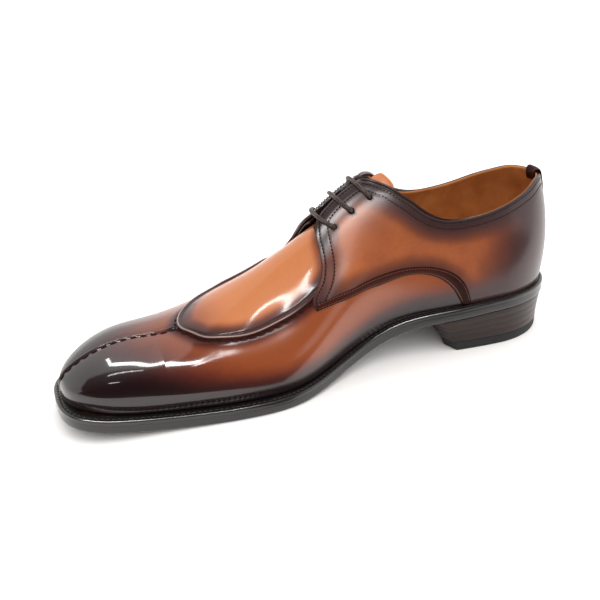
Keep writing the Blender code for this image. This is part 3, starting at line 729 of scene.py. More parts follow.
def build_quarter(outer):
    tag = 'outer' if outer else 'inner'
    nu, nv = 190, 84
    # stations: close together at the heel's back and at the front edge
    g = np.concatenate([eased(0, .16, 34)[:-1], np.linspace(.16, .93, nu - 34 - 30), 1 - eased(0, .07, 30)[::-1][1:]])
    w = np.concatenate([eased(0, .12, 16)[:-1], np.linspace(.12, .88, nv - 32), 1 - eased(0, .12, 16)[::-1][1:]])
    nu, nv = len(g), len(w)
    low = np.concatenate([[(UPPER_BACK, 0.0), (40.0, 0.0), (64.0, 0.0)], arc_low[::-1]])
    sa = UPPER_BACK + (165.8 - UPPER_BACK) * g
    bottom = np.column_stack([sa, np.interp(sa, low[:, 0], low[:, 1])])
    hi = np.concatenate([topline[::-1], throat[::-1][1:]])
    sc = UPPER_BACK + (152.0 - UPPER_BACK) * g
    top = np.column_stack([sc, np.interp(sc, hi[:, 0], hi[:, 1])])
    left = np.column_stack([np.full(nv, UPPER_BACK), .303 * w])
    wf = np.concatenate([[0], np.cumsum(np.linalg.norm(np.diff(on_surface(front), axis=0), axis=1))])
    right = np.column_stack([np.interp(w * wf[-1], wf, front[:, k]) for k in (0, 1)])
    u, v = g[:, None, None], w[None, :, None]
    st = ((1 - v) * bottom[:, None] + v * top[:, None] + (1 - u) * left[None] + u * right[None]
          - (1 - u) * (1 - v) * bottom[0] - u * (1 - v) * bottom[-1] - (1 - u) * v * top[0] - u * v * top[-1])
    S, T = np.clip(st[..., 0], UPPER_BACK, None), np.clip(st[..., 1], 0, .5)
    if outer:
        T = 1 - T
    P, N = surf(S, T), normal(S, T)
    e_front, e_throat = on_surface(side(front, outer)), on_surface(side(throat, outer))
    e_top, e_arc = on_surface(side(topline, outer)), on_surface(side(arc_low, outer))
    d_front = np.minimum(away(P, e_front), away(P, e_throat))
    d_top, d_arc = away(P, e_top), away(P, e_arc)
    d_feather = away(P, feather(outer))
    thick = .85 + .65 * (1 - smooth(4, 22, d_front))
    h = thick * rounded(d_front, .9) * rounded(d_arc, .8) * (.35 + .65 * smooth(0, 5, d_feather))
    h = np.minimum(h, -.75 + 1.6 * rounded(d_top, 1.3))
    groove = bell(d_front, 2.0, .5) + bell(d_front, 6.9, .5) + bell(d_top, 1.9, .5) + bell(d_top, 5.4, .5)
    h = h - .08 * np.clip(groove, 0, 1)
    flare = (.7 if outer else .15) * (1 - smooth(0, 16, d_front)) * smooth(147, 157, S)     # the facing stands off the apron
    P1 = P + N * (h + flare)[..., None]
    P0 = P - N * (1.0 - flare)[..., None]
    inward = -N[:, 0] * (1, 1, 0)
    inward /= np.maximum(np.linalg.norm(inward, axis=1, keepdims=True), 1e-6)
    on_welt = (bottom[:, 1] < .002)[:, None]
    tuck1 = np.where(on_welt, P1[:, 0] + inward * .7 - (0, 0, .22), P1[:, 0] - N[:, 0] * .2)
    tuck2 = np.where(on_welt, P1[:, 0] + inward * 2.4 - (0, 0, .28), P1[:, 0] - N[:, 0] * .5)
    outer_pts = np.concatenate([tuck2[:, None], tuck1[:, None], P1], 1)
    inner_pts = np.concatenate([np.where(on_welt, tuck2 + (0, 0, 1.0), P0[:, 0])[:, None],
                                np.where(on_welt, P0[:, 0] + inward * 1.2 + (0, 0, .6), P0[:, 0])[:, None], P0], 1)
    heel = 1 - (1 - .93 * smooth(70, 26, S + .30 * (P[..., 2] - 60))) * (1 - .14 * smooth(148, 122, S))
    top_band = 1 - smooth(2.5, 17, d_top)
    face_band = 1 - smooth(2.5, 16, d_front)
    arc_band = .6 * (1 - smooth(2, 15, d_arc))
    # darker towards the feather edge: partly burnish, partly painted shade on the undercut wall above the welt
    low_band = 1 - smooth(2, 20, d_feather)
    face_band = face_band * (.95 - .42 * smooth(.38, .31, np.minimum(T, 1 - T)))
    burn_and_shade = 1 - (1 - heel) * (1 - .93 * top_band) * (1 - face_band) * (1 - arc_band) * (1 - low_band)
    burn_and_shade = np.concatenate([burn_and_shade[:, :1], burn_and_shade[:, :1], burn_and_shade], 1)
    tin = np.minimum(T, 1 - T)
    gloss = .75 * (1 - .85 * (1 - smooth(6, 14, d_front)) * smooth(.37, .30, tin))      # the facing's lower end is dull
    gloss = np.concatenate([gloss[:, :1], gloss[:, :1], gloss], 1)
    return shell('quarter_' + tag, outer_pts, inner_pts, M_QUARTER, {'burn_and_shade': burn_and_shade, 'gloss': gloss}, slot='upper_leather')


def build_arc(outer):
    """Narrow strip over the seam between quarter and side vamp."""
    n = 240
    a, b = side(arc_up, outer), side(arc_low, outer)
    u = np.linspace(0, 1, n)
    ka, kb = np.linspace(0, 1, len(a)), np.linspace(0, 1, len(b))
    A = np.column_stack([np.interp(u, ka, a[:, k]) for k in (0, 1)])
    B = np.column_stack([np.interp(u, kb, b[:, k]) for k in (0, 1)])
    v = np.concatenate([eased(-.10, .2, 6), np.linspace(.2, .8, 8)[1:-1], 1 - eased(-.10, .2, 6)[::-1]])
    st = A[:, None] + (B - A)[:, None] * v[None, :, None]
    S, T = st[..., 0], np.clip(st[..., 1], 0, 1)
    P, N = surf(S, T), normal(S, T)
    rim = np.concatenate([P[:, 0], P[-1, 1:], P[::-1, -1], P[0, ::-1]])
    d = away(P, rim)
    across = (v[None, :] + .1) / 1.2
    base = .85 * smooth(1.0, .45, across)           # lies on the quarter above, on the vamp below
    h = (base + .62) * rounded(d, .7) - .14 * (bell(d, 1.35, .4))
    P1, P0 = P + N * h[..., None], P - N * .3
    burn_and_shade = .62 + .25 * (1 - smooth(0, 1.2, d)) + .35 * smooth(90, 66, S)
    return shell('arc_strip_' + ('outer' if outer else 'inner'), P1, P0, M_EDGE, {'burn_and_shade': burn_and_shade}, slot='upper_leather'), A, B


def build_lining():
    """Lining of the quarters and of the vamp."""
    made = []
    for outer in (False, True):
        s = np.concatenate([eased(UPPER_BACK, 60, 40)[:-1], np.linspace(60, 157, 80)])
        hi = np.concatenate([topline[::-1], throat[::-1][1:], [(157, .47)]])
        e = np.interp(s, hi[:, 0], hi[:, 1])
        v = np.concatenate([np.linspace(0, .9, 30), 1 - eased(.1, 0, 10, start=False)[1:]])
        S, T = s[:, None] + 0 * v, e[:, None] * v
        T = 1 - T if outer else T
        P, N = surf(S, T), normal(S, T)
        d = away(P, on_surface(side(np.concatenate([topline[::-1], throat[::-1][1:]]), outer)))
        h = -1.15 - .95 * rounded(d, 1.0)
        made.append(shell('lining_' + ('outer' if outer else 'inner'), P + N * h[..., None], P - N * 1.02, M_LINING, {'shade': smooth(110, 124, S)}, slot='tongue_leather'))
    s = np.concatenate([np.linspace(176, 250, 34), eased(250, 300.5, 34, start=False)[1:]])
    v = np.linspace(0, 1, 60)
    S, T = s[:, None] + 0 * v, v[None, :] + 0 * s[:, None]
    P, N = surf(S, T), normal(S, T)
    d = dip(S, T)[..., None]
    shell('lining_vamp', P - N * (2.0 + d), P - N * (1.25 + d), M_LINING, slot='tongue_leather')
    return made


def build_tongue():
    """Tongue: its top edge leans to the inner side, so that a leaf of it shows behind the facing."""
    v = np.concatenate([-1 + eased(0, .12, 8), np.linspace(-.88, .88, 40)[1:-1], 1 - eased(0, .12, 8)[::-1]])
    u = np.concatenate([eased(0, .12, 10), np.linspace(.12, 1, 40)[1:]])
    tt = .5 + .142 * v
    top = np.interp(tt, (.358, .37, .385, .41, .44, .47, .50, .55, .60, .642), (112.5, 109.6, 109.2, 110.6, 112.4, 113.6, 114.6, 117.2, 120.5, 125))
    s = top[None, :] + (172 - top)[None, :] * u[:, None]
    half = np.interp(s, (108, 126, 150, 172), (.142, .128, .110, .075)) / .142
    S, T = s, .5 + (tt[None, :] - .5) * half
    P, N = surf(S, T), normal(S, T)
    lift = 2.2 * smooth(126, 112, S)
    mid = P - N * (TONGUE_DEPTH + TONGUE / 2 - lift)[..., None]
    rim = np.concatenate([mid[:, 0][::-1], mid[0, 1:], mid[1:, -1]])
    d = away(mid, rim)
    k = .25 + .75 * rounded(d, 1.2)
    P1, P0 = mid + N * (k * TONGUE / 2)[..., None], mid - N * (k * TONGUE / 2)[..., None]
    # painted shade: the tongue darkens from s 117 to 127 on, where it runs under the facings; a darker band also runs
    # just inside its rim
    burn_and_shade = .25 * bell(d, 1.6, .5) + smooth(117, 127, S)
    return shell('tongue_piece', P1, P0, [M_TONGUE, M_LINING], {'burn_and_shade': burn_and_shade}, inner_mat=1, replaces=('tongue',), slot='tongue_leather')


side_rear, side_toe = build_side(False)
side_far, = build_side(True)
apron = build_apron()
quarters = [build_quarter(o) for o in (False, True)]
arcs = [build_arc(o) for o in (False, True)]
linings = build_lining()
tongue = build_tongue()


# ------------------------------------------------------------------------------- lace holes
HOLE_R = 1.75


def punch(obj, outer):
    """Lace holes cut through a piece, with the leather round each hole painted dark as shade."""
    pts, faces, centre = [], [], []
    a = np.arange(20) * 2 * np.pi / 20
    for s, tt, _ in HOLES:
        T = 1 - tt if outer else tt
        c, n = surf(s, T), normal(s, T)
        u = np.cross(n, (0, 0, 1.0))
        u /= np.linalg.norm(u)
        w = np.cross(n, u)
        ring_ = HOLE_R * (np.cos(a)[:, None] * u + np.sin(a)[:, None] * w)
        base = sum(len(q) for q in pts)
        pts += [c + 5 * n + ring_, c - 5 * n + ring_]
        faces += (quads(2, 20, wrap_v=True, base=base)).tolist()
        faces += [list(range(base, base + 20)), list(range(base + 39, base + 19, -1))]
        centre.append((c, n))
    me = bpy.data.meshes.new('cutter')
    me.from_pydata(((np.concatenate(pts) - ORIGIN) * MM).tolist(), [], faces)
    bm = bmesh.new()
    bm.from_mesh(me)
    bmesh.ops.recalc_face_normals(bm, faces=bm.faces[:])
    bm.to_mesh(me)
    bm.free()
    cutter = bpy.data.objects.new('cutter', me)
    bpy.context.scene.collection.objects.link(cutter)
    cutter.matrix_world = obj.matrix_world
    mod = obj.modifiers.new('holes', 'BOOLEAN')
    mod.operation, mod.solver, mod.object = 'DIFFERENCE', 'EXACT', cutter
    bpy.context.view_layer.update()
    new = bpy.data.meshes.new_from_object(obj.evaluated_get(bpy.context.evaluated_depsgraph_get()))
    obj.modifiers.clear()
    old, obj.data = obj.data, new
    tree = KDTree(len(old.vertices))
    for v in old.vertices:
        tree.insert(v.co, v.index)
    tree.balance()
    old_n = np.empty(len(old.vertices) * 3)
    old.vertices.foreach_get('normal', old_n)
    old_n = old_n.reshape(-1, 3)
    bpy.data.meshes.remove(old)
    new.name = obj.name
    bpy.data.objects.remove(cutter)
    bpy.data.meshes.remove(me)
    co = np.empty(len(new.vertices) * 3)
    new.vertices.foreach_get('co', co)
    co = co.reshape(-1, 3) / MM + ORIGIN
    new_n, face_n = np.empty(len(co) * 3), np.empty(len(new.polygons) * 3)
    at, total = np.empty(len(new.loops), int), np.empty(len(new.polygons), int)
    new.vertices.foreach_get('normal', new_n)
    new.polygons.foreach_get('normal', face_n)
    new.loops.foreach_get('vertex_index', at)
    new.polygons.foreach_get('loop_total', total)
    vn, face_n = new_n.reshape(-1, 3), np.repeat(face_n.reshape(-1, 3), total, axis=0)
    close = np.min([np.linalg.norm(co - c, axis=1) for c, _ in centre], axis=0) < 6
    for i in np.flatnonzero(close):
        vn[i] = old_n[tree.find(new.vertices[i].co)[1]]
    loop_n = vn[at]
    wall = close[at] & ((loop_n * face_n).sum(1) < .6)
    loop_n[wall] = face_n[wall]
    new.normals_split_custom_set(loop_n.tolist())
    if 'burn_and_shade' in new.attributes:
        val = np.empty(len(co))
        new.attributes['burn_and_shade'].data.foreach_get('value', val)
        # painted shade: the leather within 2.6 mm of each hole is set near the darkest colour
        for c, n in centre:
            r = co - c
            r = np.linalg.norm(r - (r @ n)[:, None] * n, axis=1)
            near = (np.linalg.norm(co - c, axis=1) < 8) & (r < 2.6)
            val[near] = np.maximum(val[near], .97)
        new.attributes['burn_and_shade'].data.foreach_set('value', val)


for piece, lining_piece, o in zip(quarters, linings, (False, True)):
    punch(piece, o)
    punch(lining_piece, o)


# ------------------------------------------------------------------------------- stitches
def row(line, offset, lift, cut=0):
    """Line of a stitch row: offset from an edge, with the normals there."""
    q = moved(line, offset)
    if cut:
        q = q[cut:-cut]
    q = along(q, .5)
    n = normal(q[:, 0], q[:, 1])
    return surf(q[:, 0], q[:, 1]) + lift * n, n


def build_stitches():
    dark, brown, hand = [], [], []
    for outer in (False, True):
        sg = 1 if outer else -1
        edge = np.concatenate([front, throat[1:]])
        edge = side(edge, outer)
        for off in (2.0, 6.9):
            dark.append(row(edge, sg * off, (.95 if outer else 1.16) - .01 * off))
        top = side(topline, outer)
        for off in (1.9, 5.4):
            dark.append(row(top[2:-6], sg * off, .74))
    for (obj, A, B), outer in zip(arcs, (False, True)):
        for k in (.14, .86):
            q = A + (B - A) * k
            q = along(q[3:-3], .5)
            n = normal(q[:, 0], q[:, 1])
            lift = (.85 * smooth(1.0, .45, (k + .1) / 1.2) + .62) - .12
            brown.append((surf(q[:, 0], q[:, 1]) + lift * n, n))
    for group, name, mat, pitch, length, width in ((dark, 'edge_stitches', M_THREAD, 2.05, 1.65, .62),
                                                   (brown, 'arc_stitches', M_THREAD_B, 1.75, 1.35, .5)):
        pts, faces = beads([g[0] for g in group], [g[1] for g in group], pitch, length, width, 0.0)
        make(name, pts, faces, mat, recalc=True, slot='upper_leather')
    # hand-sewn apron and toe seam
    rows_ = []
    for line, sg in ((apron_in[apron_in[:, 0] > 167], -1), (apron_out[apron_out[:, 0] > 167], 1)):
        q = along(moved(line, sg * 1.15), .5)
        n = normal(q[:, 0], q[:, 1])
        rows_.append((surf(q[:, 0], q[:, 1]) - .35 * n, n))
    pts, faces = beads([r[0] for r in rows_], [r[1] for r in rows_], HAND_PITCH, 3.5, 1.25, 0, arch=.25)
    make('apron_stitches', pts, faces, M_THREAD, slot='upper_leather')
    q = along(moved(seam[:-6], 1.8), .5)
    n = normal(q[:, 0], q[:, 1])
    pts, faces = beads([surf(q[:, 0], q[:, 1]) - .22 * n], [n], HAND_PITCH, 3.5, 1.2, 0, arch=.25)
    make('toe_stitches', pts, faces, M_THREAD, slot='upper_leather')


def build_lip():
    """Rolled edge on the apron's lip; its pale colour is a painted highlight along the lip's top."""
    a = moved(apron_in[apron_in[:, 0] > 166], .75)[::-1]
    b = moved(apron_out[apron_out[:, 0] > 166], -.75)
    line = np.concatenate([a[:-3], b[3:]])
    n = normal(line[:, 0], line[:, 1])
    proud = np.where(line[:, 1] > .55, .5 * smooth(170, 178, line[:, 0]) * smooth(212, 202, line[:, 0]), 0)
    path = on_surface(line) + (1.05 + proud)[:, None] * n
    for _ in range(3):
        path[1:-1] = .25 * path[:-2] + .5 * path[1:-1] + .25 * path[2:]
    s = line[:, 0]
    pts, faces = tube(path, .2 + .2 * smooth(166, 176, s), 10)
    # pale at the front as a painted highlight, darker from s 184 back to 168
    burn_and_shade = np.repeat(.25 + .7 * smooth(184, 168, s), 10)
    return make('apron_lip', pts, faces, M_LIP_HIGHLIGHT, {'burn_and_shade': burn_and_shade}, slot='upper_leather')


def build_tab():
    """Small tab folded over the rim at the heel's back."""
    half, v = 5.5, np.concatenate([-1 + eased(0, .25, 6), np.linspace(-.75, .75, 14)[1:-1], 1 - eased(0, .25, 6)[::-1]])
    # t, offset from the form, lift
    rows_ = [(.272, -2.8, 0), (.282, -2.8, 0), (.292, -2.8, .1), (.300, -2.5, .7), (.303, -1.6, 1.35), (.303, -.5, 1.45), (.303, .7, 1.1), (.300, 1.3, .5)]
    rows_ += [(x, 1.5, 0) for x in np.concatenate([np.linspace(.294, .246, 12), .246 - eased(0, .010, 6, start=False)[1:]])]
    mid, nrm = [], []
    for k, (tt, off, up) in enumerate(rows_):
        ss = np.linspace(UPPER_BACK, 9, 160)
        yy = surf(ss, tt)[:, 1]
        s = np.interp(half * np.abs(v), yy, ss)
        T = np.where(v >= 0, tt, 1 - tt)
        N = normal(s, T)
        mid.append(surf(s, T) + off * N + (0, 0, up))
        nrm.append(N)
    mid = np.array(mid)
    d0, d1 = np.gradient(mid, axis=0), np.gradient(mid, axis=1)
    n = np.cross(d0, d1)
    n /= np.linalg.norm(n, axis=-1, keepdims=True)
    if (n[-4] * np.array(nrm[-4])).sum() < 0:
        n = -n
    rim = np.concatenate([mid[:, 0], mid[-1, 1:], mid[::-1, -1][1:], mid[0, ::-1][1:]])
    k = (.3 + .7 * rounded(away(mid, rim), .7))[..., None] * .62
    return shell('heel_tab', mid + n * k, mid - n * k, M_EDGE, {'burn_and_shade': np.full(mid.shape[:2], .85)}, slot='upper_leather')


lip = build_lip()
build_tab()
build_stitches()


# ------------------------------------------------------------------------------- lace
def lace_path():
    over, below = 2.25, -(WALL + 1.2 + .9)

    def bar(k, back):
        s0, t0, rise = HOLES[k]
        u = np.linspace(-1, 1, 41)
        t = .5 + (.5 - t0) * u
        s = s0 + rise * (1 - u ** 2)
        p = surf(s, t) + over * normal(s, t)
        gap = np.abs(u) < .2
        for axis in (0, 1, 2):
            p[gap, axis] = np.interp(u[gap], u[~gap], p[~gap, axis])
        return p[::-1] if back else p

    def leg(k, outer_side, down):
        s0, t0, _ = HOLES[k]
        t = 1 - t0 if outer_side else t0
        c, d = surf(s0, t), normal(s0, t)
        p = np.array([c + d * h for h in (1.1, .2, -.9, -WALL - .3, -WALL - 1.7)])
        return p if down else p[::-1]

    def run(a, b, n=12):
        u = np.linspace(.12, .88, n)
        s, t = a[0] + (b[0] - a[0]) * u, a[1] + (b[1] - a[1]) * u
        return surf(s, t) + below * normal(s, t)

    (s1, t1, _), (s2, t2, _), (s3, t3, _) = HOLES
    path = [run((s3 + 4.5, 1 - t3), (s2, 1 - t2)), leg(1, True, False), bar(1, True), leg(1, False, True),
            run((s2, t2), (s1, t1)), leg(0, False, False), bar(0, False), leg(0, True, True),
            run((s1, 1 - t1), (s3, t3), 18), leg(2, False, False), bar(2, False), leg(2, True, True)]
    s, t = s3, 1 - t3
    path.append(np.array([surf(s, t) + (below + .4) * normal(s, t)]))
    p = np.vstack(path)
    w = np.concatenate([[0], np.cumsum(np.linalg.norm(np.diff(p, axis=0), axis=1))])
    q = np.linspace(0, w[-1], int(w[-1] / .5))
    p = np.stack([np.interp(q, w, p[:, k]) for k in range(3)], 1)
    for _ in range(6):
        p[1:-1] = .25 * p[:-2] + .5 * p[1:-1] + .25 * p[2:]
    return p


pts, faces = tube(lace_path(), 1.2, 16)
make('lace', pts, faces, M_LACE, replaces=('laces',), slot='lace_cord')


# =====================================================================================
# Bottom: welt, outsole, heel, insole
# =====================================================================================
def sole_line(n):
    """Closed line round the sole by s: heel back, inner side, toe, outer side; with the inward normals."""
    u = np.linspace(0, np.pi, 4 * n + 1)
    s = SOLE_BACK + (SOLE_TIP - SOLE_BACK) * (1 - np.cos(u)) / 2
    a, b = sole_edge(s)
    c = swing(s)
    xy = np.vstack([np.stack([s, c + a], 1), np.stack([s, c - b], 1)[-2:0:-1]])
    d = np.roll(xy, -1, 0) - np.roll(xy, 1, 0)
    d /= np.linalg.norm(d, axis=1, keepdims=True)
    return xy[::4], np.stack([d[:, 1], -d[:, 0]], 1)[::4]


def even_line(n):
    xy, nrm = sole_line(900)
    p = np.vstack([xy, xy[:1]])
    w = np.concatenate([[0], np.cumsum(np.linalg.norm(np.diff(p, axis=0), axis=1))])
    q = np.linspace(0, w[-1], n, endpoint=False)
    m = np.vstack([nrm, nrm[:1]])
    xy = np.stack([np.interp(q, w, p[:, k]) for k in (0, 1)], 1)
    nr = np.stack([np.interp(q, w, m[:, k]) for k in (0, 1)], 1)
    return xy, nr / np.linalg.norm(nr, axis=1, keepdims=True), q, w[-1]


def ring(xy, nrm, inset, above):
    p = xy + nrm * np.reshape(inset, (-1, 1))
    return np.column_stack([p, under_z(np.clip(p[:, 0], SOLE_BACK, SOLE_TIP)) + above])


def welt_width(s):
    return np.interp(s, (0, 70, 120, 180, 305), (5.5, 6.0, 6.5, WELT_WIDTH, WELT_WIDTH))


def build_welt():
    n = 2400
    xy, nrm, q, total = even_line(n)
    ww = welt_width(xy[:, 0])
    rows_count = int(total / 2.9)
    wave = .5 + .5 * np.cos(2 * np.pi * rows_count * q / total)      # pressed marks between the stitches
    mark = .28 * wave ** 3
    prof = [(.9, 5.13, 0), (.02, 5.12, 0), (.0, 5.5, 0), (.0, 6.6, 0), (.01, 6.88, 0), (.04, 6.94, 0), (.50, 7.40, 0), (.58, 7.46, 0), (1.05, 7.62, .5),
            (1.8, 7.66, 1), (2.4, 7.62, 1), (3.0, 7.64, .6), (3.6, 7.66, .1), (4.2, 7.6, 0), (4.9, 7.45, 0), (None, 7.35, 0), (None, 5.22, 0)]
    loops = []
    for inset, z, m in prof:
        i = ww if inset is None else np.minimum(inset, ww - .4)
        loops.append(ring(xy, nrm, i, z - mark * m))
    P = np.stack(loops, 0)
    faces = quads(len(loops), n, wrap_u=True, wrap_v=True)
    piece = make('welt_piece', P.reshape(-1, 3), faces, M_WELT, replaces=('welt',), slot='welt_leather')
    # lockstitch in the welt, all round
    c = ring(xy, nrm, 2.1, 7.66)
    up = np.zeros_like(c)
    up[:, 2] = 1
    pts, faces = beads([np.vstack([c, c[:1]])], [np.vstack([up, up[:1]])], total / rows_count, total / rows_count * .8, .75, .02, arch=.2)
    make('welt_stitches', pts, faces, M_THREAD_W, slot='welt_leather')
    return piece


def build_outsole():
    n = 420
    xy, nrm = sole_line(n)
    m = len(xy)
    prof = [(9.0, .0), (5.2, .0), (4.8, .12), (4.4, .0), (2.2, .0), (1.2, .04), (.6, .2), (.22, .6), (.05, 1.2), (0, 2.2), (0, 3.4), (0, 4.3), (0, 4.9), (.02, 5.1), (.9, 5.11), (9, 5.11)]
    P = np.concatenate([ring(xy, nrm, np.minimum(i, 12), z) for i, z in prof])
    P[:, 2] = np.maximum(P[:, 2], 0)
    faces = quads(len(prof), m, wrap_v=True).tolist()
    idx = []
    for k in range(len(prof) - 1):
        idx += [1 if k < 4 else 0] * m
    last = (len(prof) - 1) * m
    for i in range(m // 2):
        for base, mi in ((0, 1), (last, 0)):
            f = [base + i, base + i + 1, base + (m - i - 1) % m, base + (m - i) % m]
            f = [v for j, v in enumerate(f) if v != f[j - 1]]
            if len(f) > 2:
                faces.append(f)
                idx.append(mi)
    make('outsole_piece', P, faces, [M_SOLE, M_TREAD], mat_index=idx, replaces=('outsole',), slot='sole_leather', recalc=True, sharp=50)


def heel_loop(shrink, breast, n=60):
    s = eased(SOLE_BACK, breast, n)
    a, b = sole_edge(s)
    s = s + shrink * (1 - (s - SOLE_BACK) / (breast - SOLE_BACK))
    inner = np.stack([s, np.maximum(a - shrink, 0)], 1)
    outer = np.stack([s, -np.maximum(b - shrink, 0)], 1)
    inner[-1] = (breast - 3.5, a[-1] - shrink)
    keep = inner[:, 0] <= breast - 3.5
    inner, outer = inner[keep], outer[keep].copy()
    outer[-1] = (breast, -(b[-1] - shrink))
    w = np.linspace(0, 1, 25)[:-1]
    across = a[-1] - shrink - CORNER_CUT
    front = np.column_stack([breast - BREAST_HOLLOW * np.sin(np.pi * w), across + (outer[-1, 1] - across) * w])
    return np.vstack([inner, front, outer[:0:-1]])


def build_heel():
    top, low = heel_loop(.5, BREAST_TOP), heel_loop(HEEL_TAPER, BREAST_LOW)
    z_seat = under_z(top[:, 0]) - .15
    n = len(top)

    def level(z, inset=0.0):
        k = (z / np.maximum(z_seat, 1e-6))[:, None]
        sag = .8 * np.sin(np.pi * np.clip(k, 0, 1))
        mid = np.array([30.0, 0.0])
        xy = low + (top - low) * k
        xy = xy - (xy - mid) * sag / 45
        r = xy - mid
        return np.column_stack([xy - r / np.linalg.norm(r, axis=1, keepdims=True) * inset, z])

    zt = TOP_PIECE + .1
    loops = []
    lifts = 4
    for k in range(lifts):                          # thin lifts with a fine groove between them
        for f, inset in ((0.0, .07), (.05, .01), (.5, 0), (.95, .01), (1.0, .07)):
            u = (k + f) / lifts
            loops.append(level(zt + (z_seat - zt) * u, inset))
    solid_rows('heel_stack_piece', loops, M_HEEL, ('heel_stack',), 'heel_leather')
    loops = [level(np.full(n, z), i) for z, i in ((0, .7), (.25, .25), (.8, .05), (3.0, 0), (5.3, .05), (5.8, .2), (6.0, .5))]
    solid_rows('top_piece_rubber', loops, M_RUBBER, ('top_piece',), 'heel_rubber')


def solid_rows(name, loops, mat, replaced, slot):
    n = len(loops[0])
    P = np.concatenate(loops)
    faces = quads(len(loops), n, wrap_v=True).tolist()
    faces.append(list(range(n)))
    faces.append([(len(loops) - 1) * n + i for i in range(n)][::-1])
    make(name, P, faces, mat, replaces=replaced, slot=slot, sharp=40)


def build_insole():
    n = 300
    xy, nrm = sole_line(n)
    m = len(xy)
    ww = welt_width(xy[:, 0]) + GAP
    prof = [(0, 5.35), (0, 7.4), (.4, 7.75), (1.2, 7.95), (4, 8.0), (9, 7.95)]
    P = np.concatenate([ring(xy, nrm, ww + i, z) for i, z in prof])
    faces = quads(len(prof), m, wrap_v=True).tolist()
    last = (len(prof) - 1) * m
    for i in range(m // 2):
        for base in (0, last):
            f = [base + i, base + i + 1, base + (m - i - 1) % m, base + (m - i) % m]
            f = [v for j, v in enumerate(f) if v != f[j - 1]]
            if len(f) > 2:
                faces.append(f)
    make('sock', P, faces, M_LINING, replaces=('insole',), slot='insole_leather', sharp=60)


welt = build_welt()
build_outsole()
build_heel()
build_insole()

# =====================================================================================
# Camera, floor and light
# =====================================================================================
AZ, EL, DIST, FOCAL, TX, TY, ROLL = 20.922, 25.496, 521.816, 586.47, 269.43, 302.13, -0.654
FRAME_X, FRAME_Y, FRAME_W = 256.0, 306.0, 400.0      # middle and width of the framed field, on a 600 field


def build_camera():
    a, e, ro = np.radians(AZ), np.radians(EL), np.radians(ROLL)
    back = np.array([np.sin(a) * np.cos(e), np.cos(a) * np.cos(e), np.sin(e)])
    pos = np.array([150, 0, 40.0]) + back * DIST
    right = np.array([-np.cos(a), np.sin(a), 0.0])
    up = np.cross(back, right)
    up = up if up[2] > 0 else -up
    r2, u2 = np.cos(ro) * right + np.sin(ro) * up, -np.sin(ro) * right + np.cos(ro) * up
    yaw, pit = np.arctan((TX - 300) / FOCAL), np.arctan((300 - TY) / FOCAL)
    fw = -np.cos(yaw) * back - np.sin(yaw) * r2
    rr = np.cos(yaw) * r2 - np.sin(yaw) * back
    fw2 = np.cos(pit) * fw - np.sin(pit) * u2
    uu = np.cos(pit) * u2 + np.sin(pit) * fw
    cam = bpy.data.cameras.new('camera')
    cam.sensor_fit, cam.sensor_width = 'HORIZONTAL', 36.0
    cam.lens = 36.0 * FOCAL / FRAME_W
    cam.shift_x, cam.shift_y = (FRAME_X - 300) / FRAME_W, (300 - FRAME_Y) / FRAME_W
    cam.clip_start, cam.clip_end = .01, 50
    obj = bpy.data.objects.new('camera', cam)
    p = (pos - ORIGIN) * MM
    m = Matrix.Identity(4)
    for r in range(3):
        m[r][0], m[r][1], m[r][2], m[r][3] = rr[r], uu[r], -fw2[r], p[r]
    obj.matrix_world = m
    bpy.context.scene.collection.objects.link(obj)
    bpy.context.scene.camera = obj


build_camera()


def floor(name, corners):
    me = bpy.data.meshes.new(name)
    me.from_pydata([(x, y, 0) for x, y in corners], [], [list(range(len(corners)))])
    k = Nodes(name + '_white')
    k.link(k.ramp(k.noise(3, 2), ((0, (.90, .88, .86, 1)), (1, (.93, .91, .89, 1)))), k.p.inputs['Base Color'])
    k.set(Roughness=.55, Specular_IOR_Level=.2)
    me.materials.append(k.m)
    obj = bpy.data.objects.new(name, me)
    bpy.context.scene.collection.objects.link(obj)
    return obj


# the polish shows the floor only up to a line close in front of the shoe
R_FLOOR, BEND_X, BEND_Y, SLOPE = 9.0, .03, .057, .20
left, right = BEND_Y + SLOPE * (R_FLOOR + BEND_X), BEND_Y + SLOPE * (R_FLOOR - BEND_X)
floor_back = floor('floor', ((-R_FLOOR, -R_FLOOR), (R_FLOOR, -R_FLOOR), (R_FLOOR, right), (BEND_X, BEND_Y), (-R_FLOOR, left)))
floor_front = floor('floor_front', ((-R_FLOOR, left), (BEND_X, BEND_Y), (R_FLOOR, right), (R_FLOOR, R_FLOOR), (-R_FLOOR, R_FLOOR)))
floor_front.visible_glossy = False


def lit(name, *objects):
    """A group of pieces that some lights are meant for."""
    c = bpy.data.collections.new(name)
    for o in objects:
        c.objects.link(o)
    return c


def strip(name, a, b, width, radiance, only=None, to=(.05, .02, .04), fill=True):
    """Long light tube from a to b, turned to the shoe."""
    a, b = np.array(a, float), np.array(b, float)
    light = bpy.data.lights.new(name, 'AREA')
    long = np.linalg.norm(b - a)
    light.shape, light.size, light.size_y = 'RECTANGLE', long, width
    light.energy = radiance * np.pi * long * width
    obj = bpy.data.objects.new(name, light)
    x = (b - a) / long
    z = (a + b) / 2 - np.array(to)
    z -= x * (z @ x)
    z /= np.linalg.norm(z)
    y = np.cross(z, x)
    m = Matrix.Identity(4)
    for r in range(3):
        m[r][0], m[r][1], m[r][2], m[r][3] = x[r], y[r], z[r], (a + b)[r] / 2
    obj.matrix_world = m
    obj.visible_diffuse = fill
    if only:
        obj.light_linking.receiver_collection = only
    bpy.context.scene.collection.objects.link(obj)


